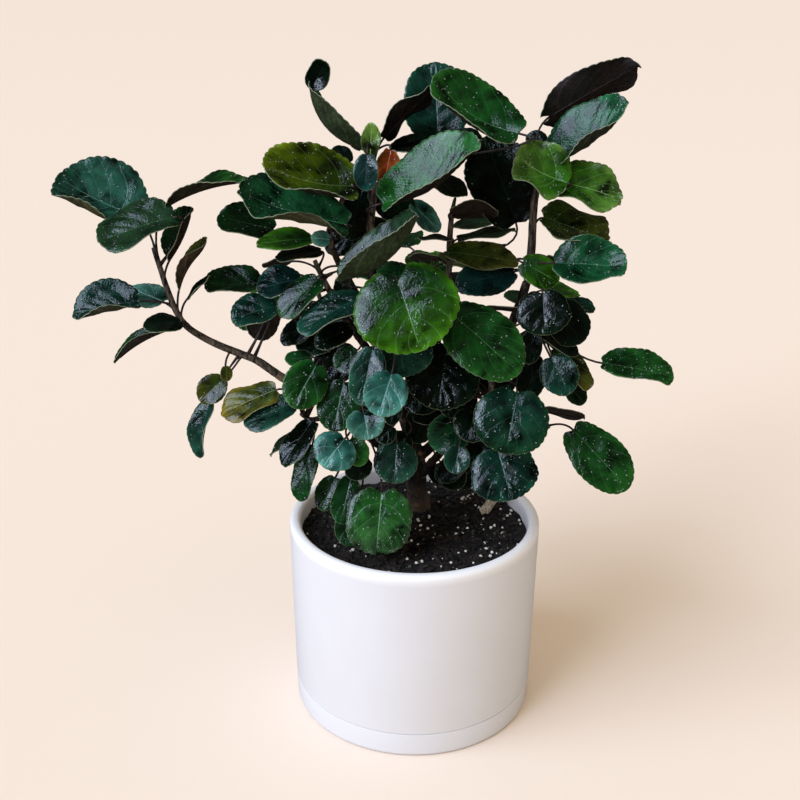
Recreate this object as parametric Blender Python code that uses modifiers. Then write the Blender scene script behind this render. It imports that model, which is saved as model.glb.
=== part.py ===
# Potted aralia with round scalloped leaves, in a white cylinder pot on a flush saucer.
# Metres, +Z up. The origin is the centre of the saucer's underside, on the surface it stands on.
# Sizes below are millimetres, turned to metres by MM.
import math
import random

import bmesh
import bpy
from mathutils import Vector

MM = 0.001
TOUCH = 0.3           # gap that two resting pieces keep

# Pot and saucer
POT_HEIGHT = 145.0
POT_RADIUS = 90.0     # outside, at the rim
FOOT_RADIUS = 88.3    # outside, just above the seam
POT_WALL = 8.0
RIM_ROUND = 3.4
FLOOR_THICK = 6.0
DRAIN_RADIUS = 6.0
SEAM_HEIGHT = 19.0
SEAM_GAP = 0.6
SAUCER_WALL = 5.0
SAUCER_FLOOR = 4.0
SAUCER_ROUND = 3.0
SAUCER_DRAFT = 0.6    # how much narrower the saucer is at its base
FOOT_CLEAR = 1.2      # side clearance of the pot's foot in the saucer
ROUND_STEPS = 56

# Soil
SOIL_DROP = 12.0      # soil surface below the rim
SOIL_DOME = 2.5
HOLE_EASE = 1.05      # a hole's radius over the radius of what stands in it, before the touching gap
HOLE_SIDES = 12

# Leaves and stalks
BLADE_THICK = 0.75
MIDRIB_THICK = 1.1
STALK_THICK = 1.9
STALK_HALF = 0.95
TOOTH = 0.03          # how far the scallops stand in and out, as a share of the radius
LOBE = 0.08           # how far the blade reaches back past its stalk, as a share of its length
RIB_SHARES = (0.78, 0.5, 0.22)
CREASE = 35.0         # degrees past which an edge stays sharp
STALK_SHORT = 30.0    # shorter stalks bend once, longer ones twice
STALK_SWEEP = 0.42    # how far the stalk goes on in the midrib's direction, as a share of its span
STALK_LEAST = 16.0    # reach at which a stalk looks for its root, for the smallest leaves
STALK_SHARE = 0.5     # the same as a share of a larger leaf's length
STALK_DROP = 0.45     # how far down and back along the midrib that is, as a share of the reach
ROOT_SKIP = 9         # places next to the cane's end where no stalk roots

# The eye that the photograph was taken from. Leaves are placed by what it shows: a reading (x, z) on the
# upright plane through the pot's axis, and the depth y where the leaf really is.
EYE = Vector((-11.0, -699.0, 507.0))

# Canes of the trunk, as (x, z, y, radius) readings from root to end.
TRUNK = [(4, 118, 30, 9.5), (4, 134, 30, 9.6), (4, 150, 30, 8.8), (1, 168, 26, 7.2), (2, 186, 22, 6.0),
         (-3, 205, 18, 5.2), (-8, 222, 14, 4.6), (-10, 238, 10, 4.2)]
CANES = {
    "left": [(3, 176, 25, 4.6), (-18, 196, 16, 3.9), (-45, 216, 4, 3.5), (-70, 234, -4, 3.2),
             (-96, 252, -9, 2.9)],
    "left_low": [(-45, 216, 4, 2.6), (-58, 220, -10, 2.2), (-66, 219, -20, 1.9)],
    "left_mid": [(-9, 232, 11, 3.4), (-24, 256, 4, 3.0), (-40, 280, -4, 2.7), (-50, 296, -8, 2.4)],
    "top": [(-10, 236, 10, 4.2), (-16, 262, 8, 3.6), (-24, 292, 5, 3.2), (-30, 322, 2, 2.9),
            (-31, 350, 0, 2.6)],
    "left_top": [(-20, 276, 6, 2.9), (-36, 302, 4, 2.5), (-50, 326, 2, 2.3), (-56, 340, 0, 2.1)],
    "centre": [(-5, 212, 17, 3.4), (6, 240, 24, 2.9), (14, 275, 26, 2.6), (19, 306, 26, 2.3)],
    "right": [(3, 190, 22, 4.4), (18, 206, 20, 4.0), (38, 235, 17, 3.6), (56, 268, 14, 3.3),
              (68, 300, 11, 3.1), (73, 318, 10, 2.9)],
    "right_mid": [(56, 268, 14, 2.7), (66, 276, 4, 2.3), (76, 284, -4, 2.0)],
    "right_low": [(20, 209, 19, 3.0), (45, 214, 10, 2.5), (66, 214, 2, 2.2)],
    "front": [(-9, 230, 12, 3.0), (-13, 250, -10, 2.7), (-16, 266, -26, 2.4)],
    "front_right": [(3, 172, 26, 3.4), (12, 186, 12, 3.0), (28, 204, -4, 2.6), (40, 216, -14, 2.3)],
    "front_left": [(1, 172, 26, 3.4), (-10, 182, 12, 3.0), (-22, 194, -4, 2.6), (-32, 204, -14, 2.3)],
    "back": [(-2, 202, 19, 3.8), (2, 220, 40, 3.2), (6, 246, 58, 2.8), (8, 262, 66, 2.5)],
    "back_left": [(-8, 224, 14, 3.4), (-28, 244, 32, 2.9), (-44, 262, 46, 2.5)],
    "back_right": [(38, 235, 17, 2.9), (48, 248, 34, 2.6), (57, 262, 48, 2.3)],
}

# The rest of each leafy stem, from the end of its cane to its growing tip.
STEMS = {
    "left": [(-110, 262, -11, 2.7), (-122, 267, -12, 2.6), (-140, 275, -14, 2.4), (-155, 285, -15, 2.2),
             (-162, 296, -15, 2.1), (-168, 315, -14, 1.9), (-174, 340, -12, 1.6)],
    "left_low": [(-74, 218, -28, 1.6), (-80, 222, -34, 1.3)],
    "left_mid": [(-58, 310, -12, 2.1), (-64, 322, -14, 1.8), (-68, 332, -14, 1.4)],
    "left_top": [(-58, 352, -4, 1.9), (-52, 366, -6, 1.7), (-46, 380, -6, 1.4)],
    "top": [(-30, 364, -2, 2.3), (-28, 380, -2, 2.1), (-29, 396, -2, 1.8), (-31, 408, -1, 1.4)],
    "centre": [(21, 325, 26, 2.1), (21, 345, 24, 2.0), (22, 363, 22, 1.8), (23, 382, 20, 1.5)],
    "right": [(75, 340, 9, 2.8), (75, 360, 8, 2.6), (76, 378, 8, 2.3), (80, 396, 9, 1.8)],
    "right_mid": [(82, 292, -10, 1.7), (86, 302, -14, 1.4)],
    "right_low": [(82, 212, -6, 1.9), (94, 214, -10, 1.6)],
    "front": [(-17, 284, -36, 2.1), (-18, 304, -44, 1.8), (-20, 318, -48, 1.5)],
    "front_right": [(48, 228, -24, 2.0), (52, 242, -32, 1.8), (48, 262, -38, 1.5)],
    "front_left": [(-38, 216, -24, 2.0), (-42, 232, -32, 1.7), (-42, 250, -38, 1.4)],
    "back": [(8, 284, 76, 2.2), (6, 308, 84, 1.9), (4, 330, 88, 1.5)],
    "back_left": [(-54, 276, 56, 2.2), (-62, 296, 64, 1.9), (-68, 316, 68, 1.5)],
    "back_right": [(62, 276, 58, 2.0), (66, 290, 66, 1.8), (68, 304, 72, 1.4)],
}

# Leaves, as readings: base x, base z, tip x, tip z, width, depth of base, depth of tip, lean of the upper
# face to the right and upwards from facing the eye (degrees), fold of each half (degrees), bow of the
# midrib towards the upper face, change of lean by the tip (share), reach of the lobes past the stalk (share).
LEAVES = {
    "left": [
        (-188, 361, -235, 385, 62, -6, -2, 0, 64, 40, -3, 0, .16),
        (-159, 368, -112, 381, 30, -18, -26, 0, 82, 34, 2, 0, .08),
        (-167, 349, -209, 344, 42, -35, -46, 0, 45, 8, 2, 0, .08),
        (-163, 333, -147, 366, 32, -14, -16, -58, 30, 38, -2, 0, .05),
        (-158, 312, -135, 342, 26, -12, -8, -60, 75, 24, 4, 0, .05),
        (-190, 303, -234, 297, 36, -20, -26, 0, 48, 14, 1, 0, .08),
        (-171, 303, -192, 312, 22, -4, 10, 0, 35, 6, 0, 0, .08),
        (-174, 281, -207, 259, 26, -12, -16, -36, 68, 26, 2, 0, .06),
        (-160, 289, -185, 284, 22, -26, -38, 0, 55, 5, 1, 0, .08),
        (-154, 305, -138, 321, 9, -16, -18, 0, 60, 30, 0, 0, .05),
        (-110, 309, -141, 311, 34, -2, 0, 0, 60, 28, 0, 0, .08),
        (-98, 297, -110, 277, 24, -2, -6, 20, 125, 5, 1, 0, .08),
        (-131, 257, -131, 246, 9, -22, -24, 20, 10, 20, 0, 0, .05),
        (-133, 248, -150, 231, 20, -18, -24, 0, 20, 12, 1, 0, .06),
        (-143, 230, -153, 188, 24, -20, -26, -48, 10, 26, 2, 0, .06),
    ],
    "left_low": [
        (-97, 238, -136, 221, 27, -36, -44, 0, 42, 6, 1, 0, .06),
        (-90, 224, -122, 208, 28, -44, -54, 0, 45, 6, 1, 0, .06),
        (-69, 258, -86, 227, 28, -50, -64, 0, 5, 5, 1, 0, .10),
        (-72, 264, -90, 262, 14, -42, -46, 0, 40, 10, 0, 0, .06),
        (-74, 214, -103, 190, 20, -22, -30, -40, 60, 10, 1, 0, .06),
        (-72, 216, -94, 182, 22, -40, -54, -30, 25, 8, 1, 0, .06),
        (-73, 198, -83, 154, 19, -32, -44, -25, 10, 10, 2, 0, .06),
    ],
    "left_mid": [
        (-64, 338, -94, 333, 20, -16, -22, 0, 60, 10, 1, 0, .06),
        (-84, 331, -103, 328, 14, -4, -6, 0, 112, 8, 0, 0, .05),
        (-78, 319, -107, 311, 29, -14, -20, 0, 45, 10, 1, 0, .06),
        (-95, 300, -125, 290, 31, -26, -34, 0, 45, 15, 1, 0, .06),
        (-66, 319, -92, 293, 25, -32, -42, -20, 30, 10, 1, 0, .06),
        (-52, 328, -44, 327, 15, -30, -34, 0, 20, 4, 0, 0, .10),
        (-50, 321, -50, 307, 12, -26, -28, 0, 20, 14, 0, 0, .06),
        (-37, 307, -80, 282, 30, -42, -56, -20, 42, 12, 1, 0, .06),
        (-45, 285, -69, 272, 20, -38, -44, 0, 40, 6, 1, 0, .08),
        (-70, 291, -92, 274, 18, -6, -12, 0, 30, 8, 0, 0, .06),
    ],
    "left_top": [
        (-43, 388, -101, 392, 42, -24, -38, 0, 25, 7, 1, 0, .04),
        (-38, 383, -85, 371, 26, -6, -3, 0, 104, 6, 1, 0, .04),
        (-47, 353, -117, 378, 46, -27, -34, 0, 66, 24, -2, -.6, .06),
        (-95, 352, -131, 360, 30, 0, -4, 0, 40, 8, 1, 0, .08),
        (-70, 346, -106, 342, 24, -26, -32, 0, 54, 6, 1, 0, .06),
        (-58, 346, -70, 347, 11, -32, -36, 20, 10, 10, 0, 0, .06),
        (-44, 396, -55, 405, 14, 2, 4, 0, 30, 10, 0, 0, .06),
    ],
    "top": [
        (65, 414, 9, 440, 38, -16, -8, 0, 15, 10, 1, 0, .05),
        (12, 412, 9, 458, 46, 18, 36, 0, 4, 4, 0, 0, .10),
        (-22, 412, 9, 442, 30, 2, -4, -78, 84, 6, 1, 0, .05),
        (-37, 405, -67, 459, 24, 0, 6, 48, 62, 28, -13, -.5, .04),
        (-31, 401, -30, 421, 13, -8, -6, 0, 20, 24, 0, 0, .05),
        (-18, 404, -23, 381, 17, -14, -16, 15, 10, 22, 1, 0, .06),
        (-33, 401, -34, 378, 16, -33, -36, -10, 10, 12, 1, 0, .06),
        (-23, 373, 38, 412, 54, -36, -42, -32, 46, 40, -19, 0, .04),
        (-18, 404, 35, 412, 26, 2, -2, 0, 70, 10, 0, 0, .05),
        (-34, 358, -18, 344, 20, 18, 14, 0, 40, 8, 1, 0, .08),
        (-4, 370, 14, 352, 20, 10, 8, 20, 40, 8, 0, 0, .06),
        (-36, 379, -46, 346, 26, 14, 12, 0, 20, 8, 1, 0, .06),
    ],
    "centre": [
        (64, 361, 48, 408, 40, 20, 38, 0, 8, 8, 1, 0, .06),
        (22, 364, 52, 365, 26, 16, 10, 0, 118, 6, 1, 0, .06),
        (24, 356, 57, 361, 18, 36, 42, 0, 72, 8, 0, 0, .06),
        (27, 348, 62, 353, 18, 30, 34, 0, 75, 8, 0, 0, .06),
        (20, 338, 67, 331, 24, 14, 6, 0, 46, 8, 1, 0, .06),
        (62, 323, 26, 312, 27, 8, 0, 0, 35, 8, 1, 0, .06),
        (22, 347, 0, 347, 18, 22, 20, 0, 78, 8, 0, 0, .06),
        (14, 333, -6, 335, 18, 24, 22, 0, 105, 8, 0, 0, .06),
    ],
    "right": [
        (81, 379, 76, 410, 38, -6, 0, -8, 4, 8, 1, 0, .04),
        (92, 383, 131, 379, 30, 2, -2, 0, 38, 16, 1, 0, .03),
        (89, 402, 130, 436, 60, 14, 13, -41, 44, 44, -11, 0, .06),
        (85, 424, 137, 459, 34, 34, 36, -85, 110, 10, 1, 0, .14),
        (81, 409, 68, 413, 14, 24, 28, 0, 30, 8, 0, 0, .06),
        (85, 354, 125, 346, 44, 8, 2, 0, 52, 24, 1, 0, .10),
        (91, 333, 139, 333, 30, -24, -32, 0, 22, 6, 1, 0, .06),
        (86, 335, 110, 325, 16, -8, -12, 0, 110, 6, 0, 0, .06),
        (70, 331, 94, 318, 22, -14, -18, 0, 15, 6, 1, 0, .10),
    ],
    "right_mid": [
        (84, 310, 87, 281, 36, -34, -46, 0, 5, 5, 1, 0, .12),
        (93, 306, 114, 280, 32, -12, -22, 25, 12, 6, 1, 0, .06),
        (70, 299, 42, 299, 18, -12, -14, 0, 102, 6, 0, 0, .05),
        (79, 284, 77, 260, 15, -22, -30, 0, 20, 8, 0, 0, .06),
        (85, 283, 111, 267, 18, -18, -24, 0, 55, 8, 0, 0, .06),
        (92, 265, 106, 238, 25, -34, -46, 0, 8, 5, 1, 0, .06),
        (94, 271, 121, 243, 23, -22, -32, 28, 20, 8, 1, 0, .06),
        (106, 245, 117, 231, 15, -20, -24, 10, 20, 8, 0, 0, .06),
        (128, 262, 179, 254, 28, -22, -30, 0, 38, 8, 1, 0, .06),
        (80, 266, 78, 234, 22, -4, -10, 0, 10, 8, 1, 0, .06),
    ],
    "right_low": [
        (111, 211, 157, 167, 37, -24, -44, 4, 4, 5, 1, 0, .08),
        (92, 224, 118, 220, 17, -8, -6, 0, 104, 8, 0, 0, .06),
    ],
    "front": [
        (-13, 318, 3, 269, 66, -62, -82, 0, 0, 4, 1, 0, .24),
        (-48, 319, 0, 362, 50, -54, -60, -50, 56, 56, -12, 0, .06),
        (-17, 249, -28, 223, 25, -70, -84, 0, 4, 6, 1, 0, .08),
        (-30, 267, -38, 229, 20, -60, -74, -10, 0, 10, 1, 0, .06),
        (-40, 267, -56, 257, 18, -48, -52, 0, 20, 6, 0, 0, .08),
        (-12, 278, -8, 250, 41, -50, -56, 0, 6, 4, 1, 0, .08),
    ],
    "front_right": [
        (22, 297, 71, 253, 45, -46, -66, 12, 14, 6, 1, 0, .06),
        (70, 239, 64, 192, 50, -54, -74, 0, 0, 4, 1, 0, .10),
        (58, 196, 70, 156, 48, -38, -56, 0, 6, 5, 1, 0, .08),
        (21, 273, 15, 226, 50, -31, -51, 0, 4, 5, 1, 0, .08),
        (35, 214, 10, 200, 29, -22, -28, 0, 10, 10, 1, 0, .06),
        (44, 224, 34, 203, 26, -31, -42, 0, 8, 6, 1, 0, .08),
        (31, 198, 28, 177, 18, -36, -44, 0, 8, 10, 0, 0, .06),
        (24, 224, -2, 219, 18, -7, -9, 0, 40, 8, 0, 0, .04),
    ],
    "front_left": [
        (-50, 246, -58, 209, 28, -50, -64, -6, 2, 5, 1, 0, .06),
        (-50, 203, -66, 182, 30, -56, -66, -5, 4, 5, 1, 0, .10),
        (-57, 173, -68, 147, 18, -32, -40, -8, 8, 10, 1, 0, .06),
        (-46, 173, -54, 136, 20, -36, -48, 0, 6, 8, 1, 0, .06),
        (-24, 161, -28, 110, 48, -44, -60, 0, 6, 4, 1, 0, .12),
        (-41, 151, -50, 118, 24, -34, -46, 0, 8, 6, 1, 0, .06),
        (-13, 201, -15, 169, 30, -40, -52, 0, 0, 8, 1, 0, .06),
        (-36, 222, -33, 203, 26, -68, -76, 0, 4, 8, 1, 0, .26),
        (-47, 202, -37, 183, 18, -52, -58, 12, 6, 20, 1, 0, .06),
        (-44, 190, -37, 172, 20, -40, -46, 0, 10, 6, 0, 0, .06),
        (-14, 232, -18, 214, 12, -44, -50, 0, 6, 8, 0, 0, .06),
        (-16, 213, -27, 202, 15, -50, -54, 0, 10, 8, 0, 0, .06),
    ],
}

# Leaves of the shoots that the photograph hides are drawn by rule from this seed: their number, and the two
# bearings (degrees from +X) between which they spread.
BACK_SEED = 50
BACK_SHOOTS = {"back": (7, 30, 150), "back_left": (6, 95, 215), "back_right": (5, -30, 85)}
BACK_LENGTH = (36.0, 54.0)
BACK_WIDTH = (0.75, 0.95)     # as a share of the length
BACK_STALK = (16.0, 26.0)     # from the stem out to the blade
BACK_LIFT = (2.0, 12.0)       # of the blade's base above its root
BACK_HANG = (-0.45, 0.2)      # of the tip against the base, as a share of the length
BACK_FOLD = (4.0, 16.0)       # degrees
BACK_SWAY = 8.0               # degrees
BACK_LEAN = 60.0              # degrees that a hidden leaf's face leans up from facing the eye
GOLDEN_SHARE = 0.618  # of the spread between one leaf and the next, so that neighbours part

# Old cut stub in the soil: foot, head and radius
STUB_FOOT = Vector((50.0, 23.0, 122.0))
STUB_HEAD = Vector((64.0, 27.0, 146.0))
STUB_RADIUS = 3.8


def clear_scene():
    for obj in list(bpy.data.objects):
        bpy.data.objects.remove(obj, do_unlink=True)


def collection(name):
    group = bpy.data.collections.new(name)
    bpy.context.scene.collection.children.link(group)
    return group


def material(name, colour, roughness):
    made = bpy.data.materials.new(name)
    made.use_nodes = True
    shader = made.node_tree.nodes["Principled BSDF"]
    shader.inputs["Base Color"].default_value = (*colour, 1.0)
    shader.inputs["Roughness"].default_value = roughness
    return made


def place(mesh, name, group, finish):
    obj = bpy.data.objects.new(name, mesh)
    obj.data.materials.append(finish)
    group.objects.link(obj)
    return obj


def seen(x, z, depth):
    """The point at this depth that the eye sees at (x, z) on the plane y = 0."""
    reach = (depth - EYE.y) / (0.0 - EYE.y)
    return EYE + (Vector((x, 0.0, z)) - EYE) * reach


def arc(centre_r, centre_z, radius, start, end, steps):
    points = []
    for step in range(steps + 1):
        turn = math.radians(start + (end - start) * step / steps)
        points.append((centre_r + radius * math.cos(turn), centre_z + radius * math.sin(turn)))
    return points


def turned(name, profile, group, finish, closed=False):
    """A turned solid: the profile's (radius, height) points run from top to bottom on the outer side."""
    bm = bmesh.new()
    points = [bm.verts.new((radius * MM, 0.0, height * MM)) for radius, height in profile]
    for first, second in zip(points, points[1:]):
        bm.edges.new((first, second))
    if closed:
        bm.edges.new((points[-1], points[0]))
    mesh = bpy.data.meshes.new(name)
    bm.to_mesh(mesh)
    bm.free()
    obj = place(mesh, name, group, finish)
    screw = obj.modifiers.new("Turn", "SCREW")
    screw.steps = ROUND_STEPS
    screw.render_steps = ROUND_STEPS
    screw.use_merge_vertices = True
    screw.merge_threshold = 0.00001
    screw.use_smooth_shade = True
    return obj


def saucer(group, finish):
    inner = FOOT_RADIUS - SAUCER_WALL
    top = SEAM_HEIGHT - SEAM_GAP
    profile = [(0.0, SAUCER_FLOOR), (inner, SAUCER_FLOOR), (inner, top)]
    profile.append((FOOT_RADIUS, top))
    profile += arc(FOOT_RADIUS - SAUCER_DRAFT - SAUCER_ROUND, SAUCER_ROUND, SAUCER_ROUND, 0.0, -90.0, 2)
    profile.append((0.0, 0.0))
    return turned("saucer", profile, group, finish)


def inner_radius(height):
    """Inside of the pot's wall, which keeps its thickness as the pot narrows downwards."""
    share = (height - SEAM_HEIGHT) / (POT_HEIGHT - SEAM_HEIGHT)
    return FOOT_RADIUS + (POT_RADIUS - FOOT_RADIUS) * share - POT_WALL


def pot(group, finish):
    foot = FOOT_RADIUS - SAUCER_WALL - FOOT_CLEAR
    bottom = SAUCER_FLOOR + TOUCH
    floor = bottom + FLOOR_THICK
    rim = POT_HEIGHT - RIM_ROUND
    profile = [(DRAIN_RADIUS, floor), (inner_radius(floor), floor)]
    profile += arc(POT_RADIUS - POT_WALL + RIM_ROUND, rim, RIM_ROUND, 180.0, 90.0, 3)
    profile += arc(POT_RADIUS - RIM_ROUND, rim, RIM_ROUND, 90.0, 0.0, 3)
    profile += [(FOOT_RADIUS, SEAM_HEIGHT), (foot, SEAM_HEIGHT), (foot, bottom), (DRAIN_RADIUS, bottom)]
    return turned("pot", profile, group, finish, closed=True)


def soil(group, finish, sunk):
    """Soil with plain holes for what stands in it: sunk is a list of foot, head and radius."""
    top = POT_HEIGHT - SOIL_DROP
    bottom = SAUCER_FLOOR + FLOOR_THICK + 2.0 * TOUCH
    edge = inner_radius(top) - TOUCH
    profile = [(0.0, top + SOIL_DOME), (edge * 0.5, top + SOIL_DOME * 0.7), (edge, top - 0.5)]
    profile += [(inner_radius(bottom) - TOUCH, bottom), (0.0, bottom)]
    body = turned("soil", profile, group, finish)
    for index, (foot, head, radius) in enumerate(sunk):
        axis = head - foot
        cutter = bmesh.new()
        bmesh.ops.create_cone(cutter, cap_ends=True, segments=HOLE_SIDES, radius1=radius * MM,
                              radius2=radius * MM, depth=axis.length * MM)
        mesh = bpy.data.meshes.new("hole")
        cutter.to_mesh(mesh)
        cutter.free()
        hole = bpy.data.objects.new("soil_hole_%d" % index, mesh)
        hole.rotation_mode = "QUATERNION"
        hole.rotation_quaternion = axis.to_track_quat("Z", "Y")
        hole.location = (foot + head) * 0.5 * MM
        hole.hide_render = True
        hole.display_type = "WIRE"
        cutters.objects.link(hole)
        cut = body.modifiers.new("Hole", "BOOLEAN")
        cut.operation = "DIFFERENCE"
        cut.object = hole
    return body


def tube(name, points, group, finish, sides=2):
    """A stem through (position, radius) points, as one closed mesh."""
    curve = bpy.data.curves.new(name, "CURVE")
    curve.dimensions = "3D"
    curve.bevel_depth = MM
    curve.bevel_resolution = sides - 1
    curve.use_fill_caps = True
    spline = curve.splines.new("POLY")
    spline.points.add(len(points) - 1)
    for point, (position, radius) in zip(spline.points, points):
        point.co = (*(position * MM), 1.0)
        point.radius = radius
    guide = bpy.data.objects.new(name + "_guide", curve)
    group.objects.link(guide)
    bpy.context.view_layer.update()
    graph = bpy.context.evaluated_depsgraph_get()
    mesh = bpy.data.meshes.new_from_object(guide.evaluated_get(graph))
    obj = place(mesh, name, group, finish)
    obj.matrix_world = guide.matrix_world
    bpy.data.objects.remove(guide, do_unlink=True)
    bm = bmesh.new()
    bm.from_mesh(mesh)
    bmesh.ops.remove_doubles(bm, verts=bm.verts, dist=0.00001)
    bmesh.ops.recalc_face_normals(bm, faces=bm.faces)
    bm.to_mesh(mesh)
    bm.free()
    return obj


def fuse(base, parts, group):
    """Join the parts, all in their own collection, to the base with one Boolean union."""
    union = base.modifiers.new("Join", "BOOLEAN")
    union.operation = "UNION"
    union.operand_type = "COLLECTION"
    union.collection = parts
    union.solver = "EXACT"
    bpy.context.view_layer.objects.active = base
    bpy.ops.object.modifier_apply(modifier=union.name)
    for part in list(parts.objects):
        bpy.data.objects.remove(part, do_unlink=True)
    bpy.data.collections.remove(parts)
    tidy_mesh(base.data)
    return base


def tidy_mesh(mesh):
    bm = bmesh.new()
    bm.from_mesh(mesh)
    bmesh.ops.dissolve_degenerate(bm, edges=bm.edges, dist=0.00001)
    bmesh.ops.triangulate(bm, faces=bm.faces)
    bm.to_mesh(mesh)
    bm.free()
    mesh.shade_smooth()
    mesh.set_sharp_from_angle(angle=math.radians(CREASE))


class Blade:
    """One leaf's place and bend, from its row of readings."""

    def __init__(self, row):
        base_x, base_z, tip_x, tip_z, width, base_depth, tip_depth = row[:7]
        self.lean_right, self.lean_up, self.fold, self.bow, self.turn, self.lobe = row[7:]
        self.base = seen(base_x, base_z, base_depth)
        self.tip = seen(tip_x, tip_z, tip_depth)
        self.half = width / 2.0
        self.axis = (self.tip - self.base).normalized()
        self.length = (self.tip - self.base).length
        self.toward = (EYE - (self.base + self.tip) / 2.0).normalized()

    def face(self, share):
        """Direction of the upper face at this share of the length."""
        scale = 1.0 + self.turn * share
        lean = math.hypot(self.lean_right, self.lean_up)
        right = Vector((1.0, 0.0, 0.0))
        right = (right - self.toward * right.dot(self.toward)).normalized()
        up = self.toward.cross(right)
        normal = self.toward.copy()
        if lean > 0.0:
            aside = (right * self.lean_right + up * self.lean_up) / lean
            angle = math.radians(lean * scale)
            normal = self.toward * math.cos(angle) + aside * math.sin(angle)
        normal = normal - self.axis * normal.dot(self.axis)
        return normal.normalized()

    def point(self, along, across):
        """Where a point of the flat blade comes to lie once it is folded and bowed."""
        share = along / self.length
        normal = self.face(share)
        side = self.axis.cross(normal)
        fold = math.radians(self.fold)
        rise = self.face(0.5) * self.bow * 4.0 * share * (1.0 - share)
        out = side * math.cos(fold) * across + normal * math.sin(fold) * abs(across)
        return self.base + self.axis * along + rise + out

    def start(self):
        """Direction in which the midrib sets out from the stalk."""
        return (self.axis * self.length + self.face(0.5) * self.bow * 4.0).normalized()


def stalk_path(blade, stem):
    """Points from the leaf's base back to the stem it grew from."""
    reach = STALK_DROP * max(STALK_LEAST, STALK_SHARE * blade.length)
    wish = blade.base - blade.start() * reach - Vector((0.0, 0.0, reach))
    root = min(stem, key=lambda spot: (spot - wish).length)
    if len(stem) > 4:
        stem.remove(root)
    span = (root - blade.base).length
    bend = blade.base - blade.start() * span * STALK_SWEEP
    points = []
    steps = 2 if span < STALK_SHORT else 3
    for step in range(1, steps + 1):
        share = step / steps
        near = blade.base.lerp(bend, share)
        far = bend.lerp(root, share)
        points.append(near.lerp(far, share))
    return points


def leaf(name, blade, stem, teeth, group, finish):
    """One leaf with its stalk: a scalloped disc, split along its midrib, folded, drawn out into a stalk
    from its base edge and given its thickness."""
    count = 2 * teeth + 1
    reach = blade.length * (1.0 + blade.lobe) / 2.0
    middle = blade.length - reach
    bm = bmesh.new()
    girth = bm.verts.layers.deform.verify()
    verts = bmesh.ops.create_circle(bm, cap_ends=True, segments=count, radius=1.0)["verts"]
    for step, vert in zip(range(1 - teeth, teeth), verts):
        turn = math.pi * step / teeth
        scale = 1.0 if step == 0 else 1.0 + TOOTH * (-1.0) ** step
        vert.co = (middle + reach * math.cos(turn) * scale, blade.half * math.sin(turn) * scale, 0.0)
    verts[-2].co = (0.0, STALK_HALF, 0.0)
    verts[-1].co = (0.0, -STALK_HALF, 0.0)
    face = bm.faces[:][0]
    tip = verts[teeth - 1]
    rib = [Vector((blade.length * share, 0.0, 0.0)) for share in RIB_SHARES]
    bmesh.utils.face_split(face, tip, verts[-1], coords=rib)
    bmesh.ops.triangulate(bm, faces=bm.faces, quad_method="BEAUTY", ngon_method="BEAUTY")
    for vert in bm.verts:
        on_rib = abs(vert.co.y) < 0.01 and vert is not tip
        vert[girth][0] = (MIDRIB_THICK if on_rib else BLADE_THICK) / STALK_THICK
    foot = [verts[-2], verts[-1]]
    for vert in foot:
        vert[girth][0] = 1.0
    for vert in bm.verts:
        vert.co = blade.point(vert.co.x, vert.co.y)
    draw_stalk(bm, girth, foot, stalk_path(blade, stem))
    bmesh.ops.triangulate(bm, faces=bm.faces)
    bmesh.ops.recalc_face_normals(bm, faces=bm.faces)
    bmesh.ops.scale(bm, vec=(MM, MM, MM), verts=bm.verts)
    mesh = bpy.data.meshes.new(name)
    bm.to_mesh(mesh)
    bm.free()
    obj = place(mesh, name, group, finish)
    weights = obj.vertex_groups.new(name="girth")
    skin = obj.modifiers.new("Thickness", "SOLIDIFY")
    skin.thickness = STALK_THICK * MM
    skin.offset = 0.0
    skin.vertex_group = weights.name
    return obj


def draw_stalk(bm, girth, foot, path):
    """Extrude the leaf's base edge along the path, and keep its width."""
    wide = (foot[0].co - foot[1].co).normalized()
    last = (foot[0].co + foot[1].co) / 2.0
    edge = bm.edges.get(foot)
    for spot in path:
        along = (spot - last).normalized()
        wide = (wide - along * wide.dot(along)).normalized()
        grown = bmesh.ops.extrude_edge_only(bm, edges=[edge])["geom"]
        ends = [item for item in grown if isinstance(item, bmesh.types.BMVert)]
        edge = bm.edges.get(ends)
        ends.sort(key=lambda vert: (vert.co - last).dot(wide))
        ends[0].co = spot - wide * STALK_HALF
        ends[1].co = spot + wide * STALK_HALF
        for vert in ends:
            vert[girth][0] = 1.0
        last = spot


def stem_points(rows):
    return [(seen(x, z, depth), radius) for x, z, depth, radius in rows]


def stem_samples(points):
    """Places along a stem where stalks may root, short of its two ends."""
    spots = []
    for (first, _), (second, _) in zip(points, points[1:]):
        for step in range(1, 8):
            spots.append(first.lerp(second, step / 8.0))
    return spots[ROOT_SKIP:-1]


def shoot_start(name):
    """First points of a leafy stem, straight on from the end of its cane with a touching gap."""
    cane = stem_points(CANES[name])
    (before, _), (end, radius) = cane[-2:]
    along = (end - before).normalized()
    return [(end + along * TOUCH, radius), (end + along * 3.0, radius)]


def trunk(group, finish):
    body = tube("trunk", stem_points(TRUNK), group, finish, sides=3)
    canes = collection("canes")
    for name, rows in CANES.items():
        tube("cane_" + name, stem_points(rows), canes, finish, sides=2)
    return fuse(body, canes, group)


def shoot(name, rows, group, finish):
    points = shoot_start(name) + stem_points(STEMS[name])
    body = tube("shoot_" + name, points, group, finish, sides=2)
    leaves = collection("leaves")
    stem = stem_samples(points)
    for index, row in enumerate(rows):
        blade = Blade(row)
        teeth = max(4, min(8, round(2.5 + math.sqrt(blade.length * blade.half) * 0.18)))
        leaf("%s_leaf_%02d" % (name, index), blade, stem, teeth, leaves, finish)
    return fuse(body, leaves, group)


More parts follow.
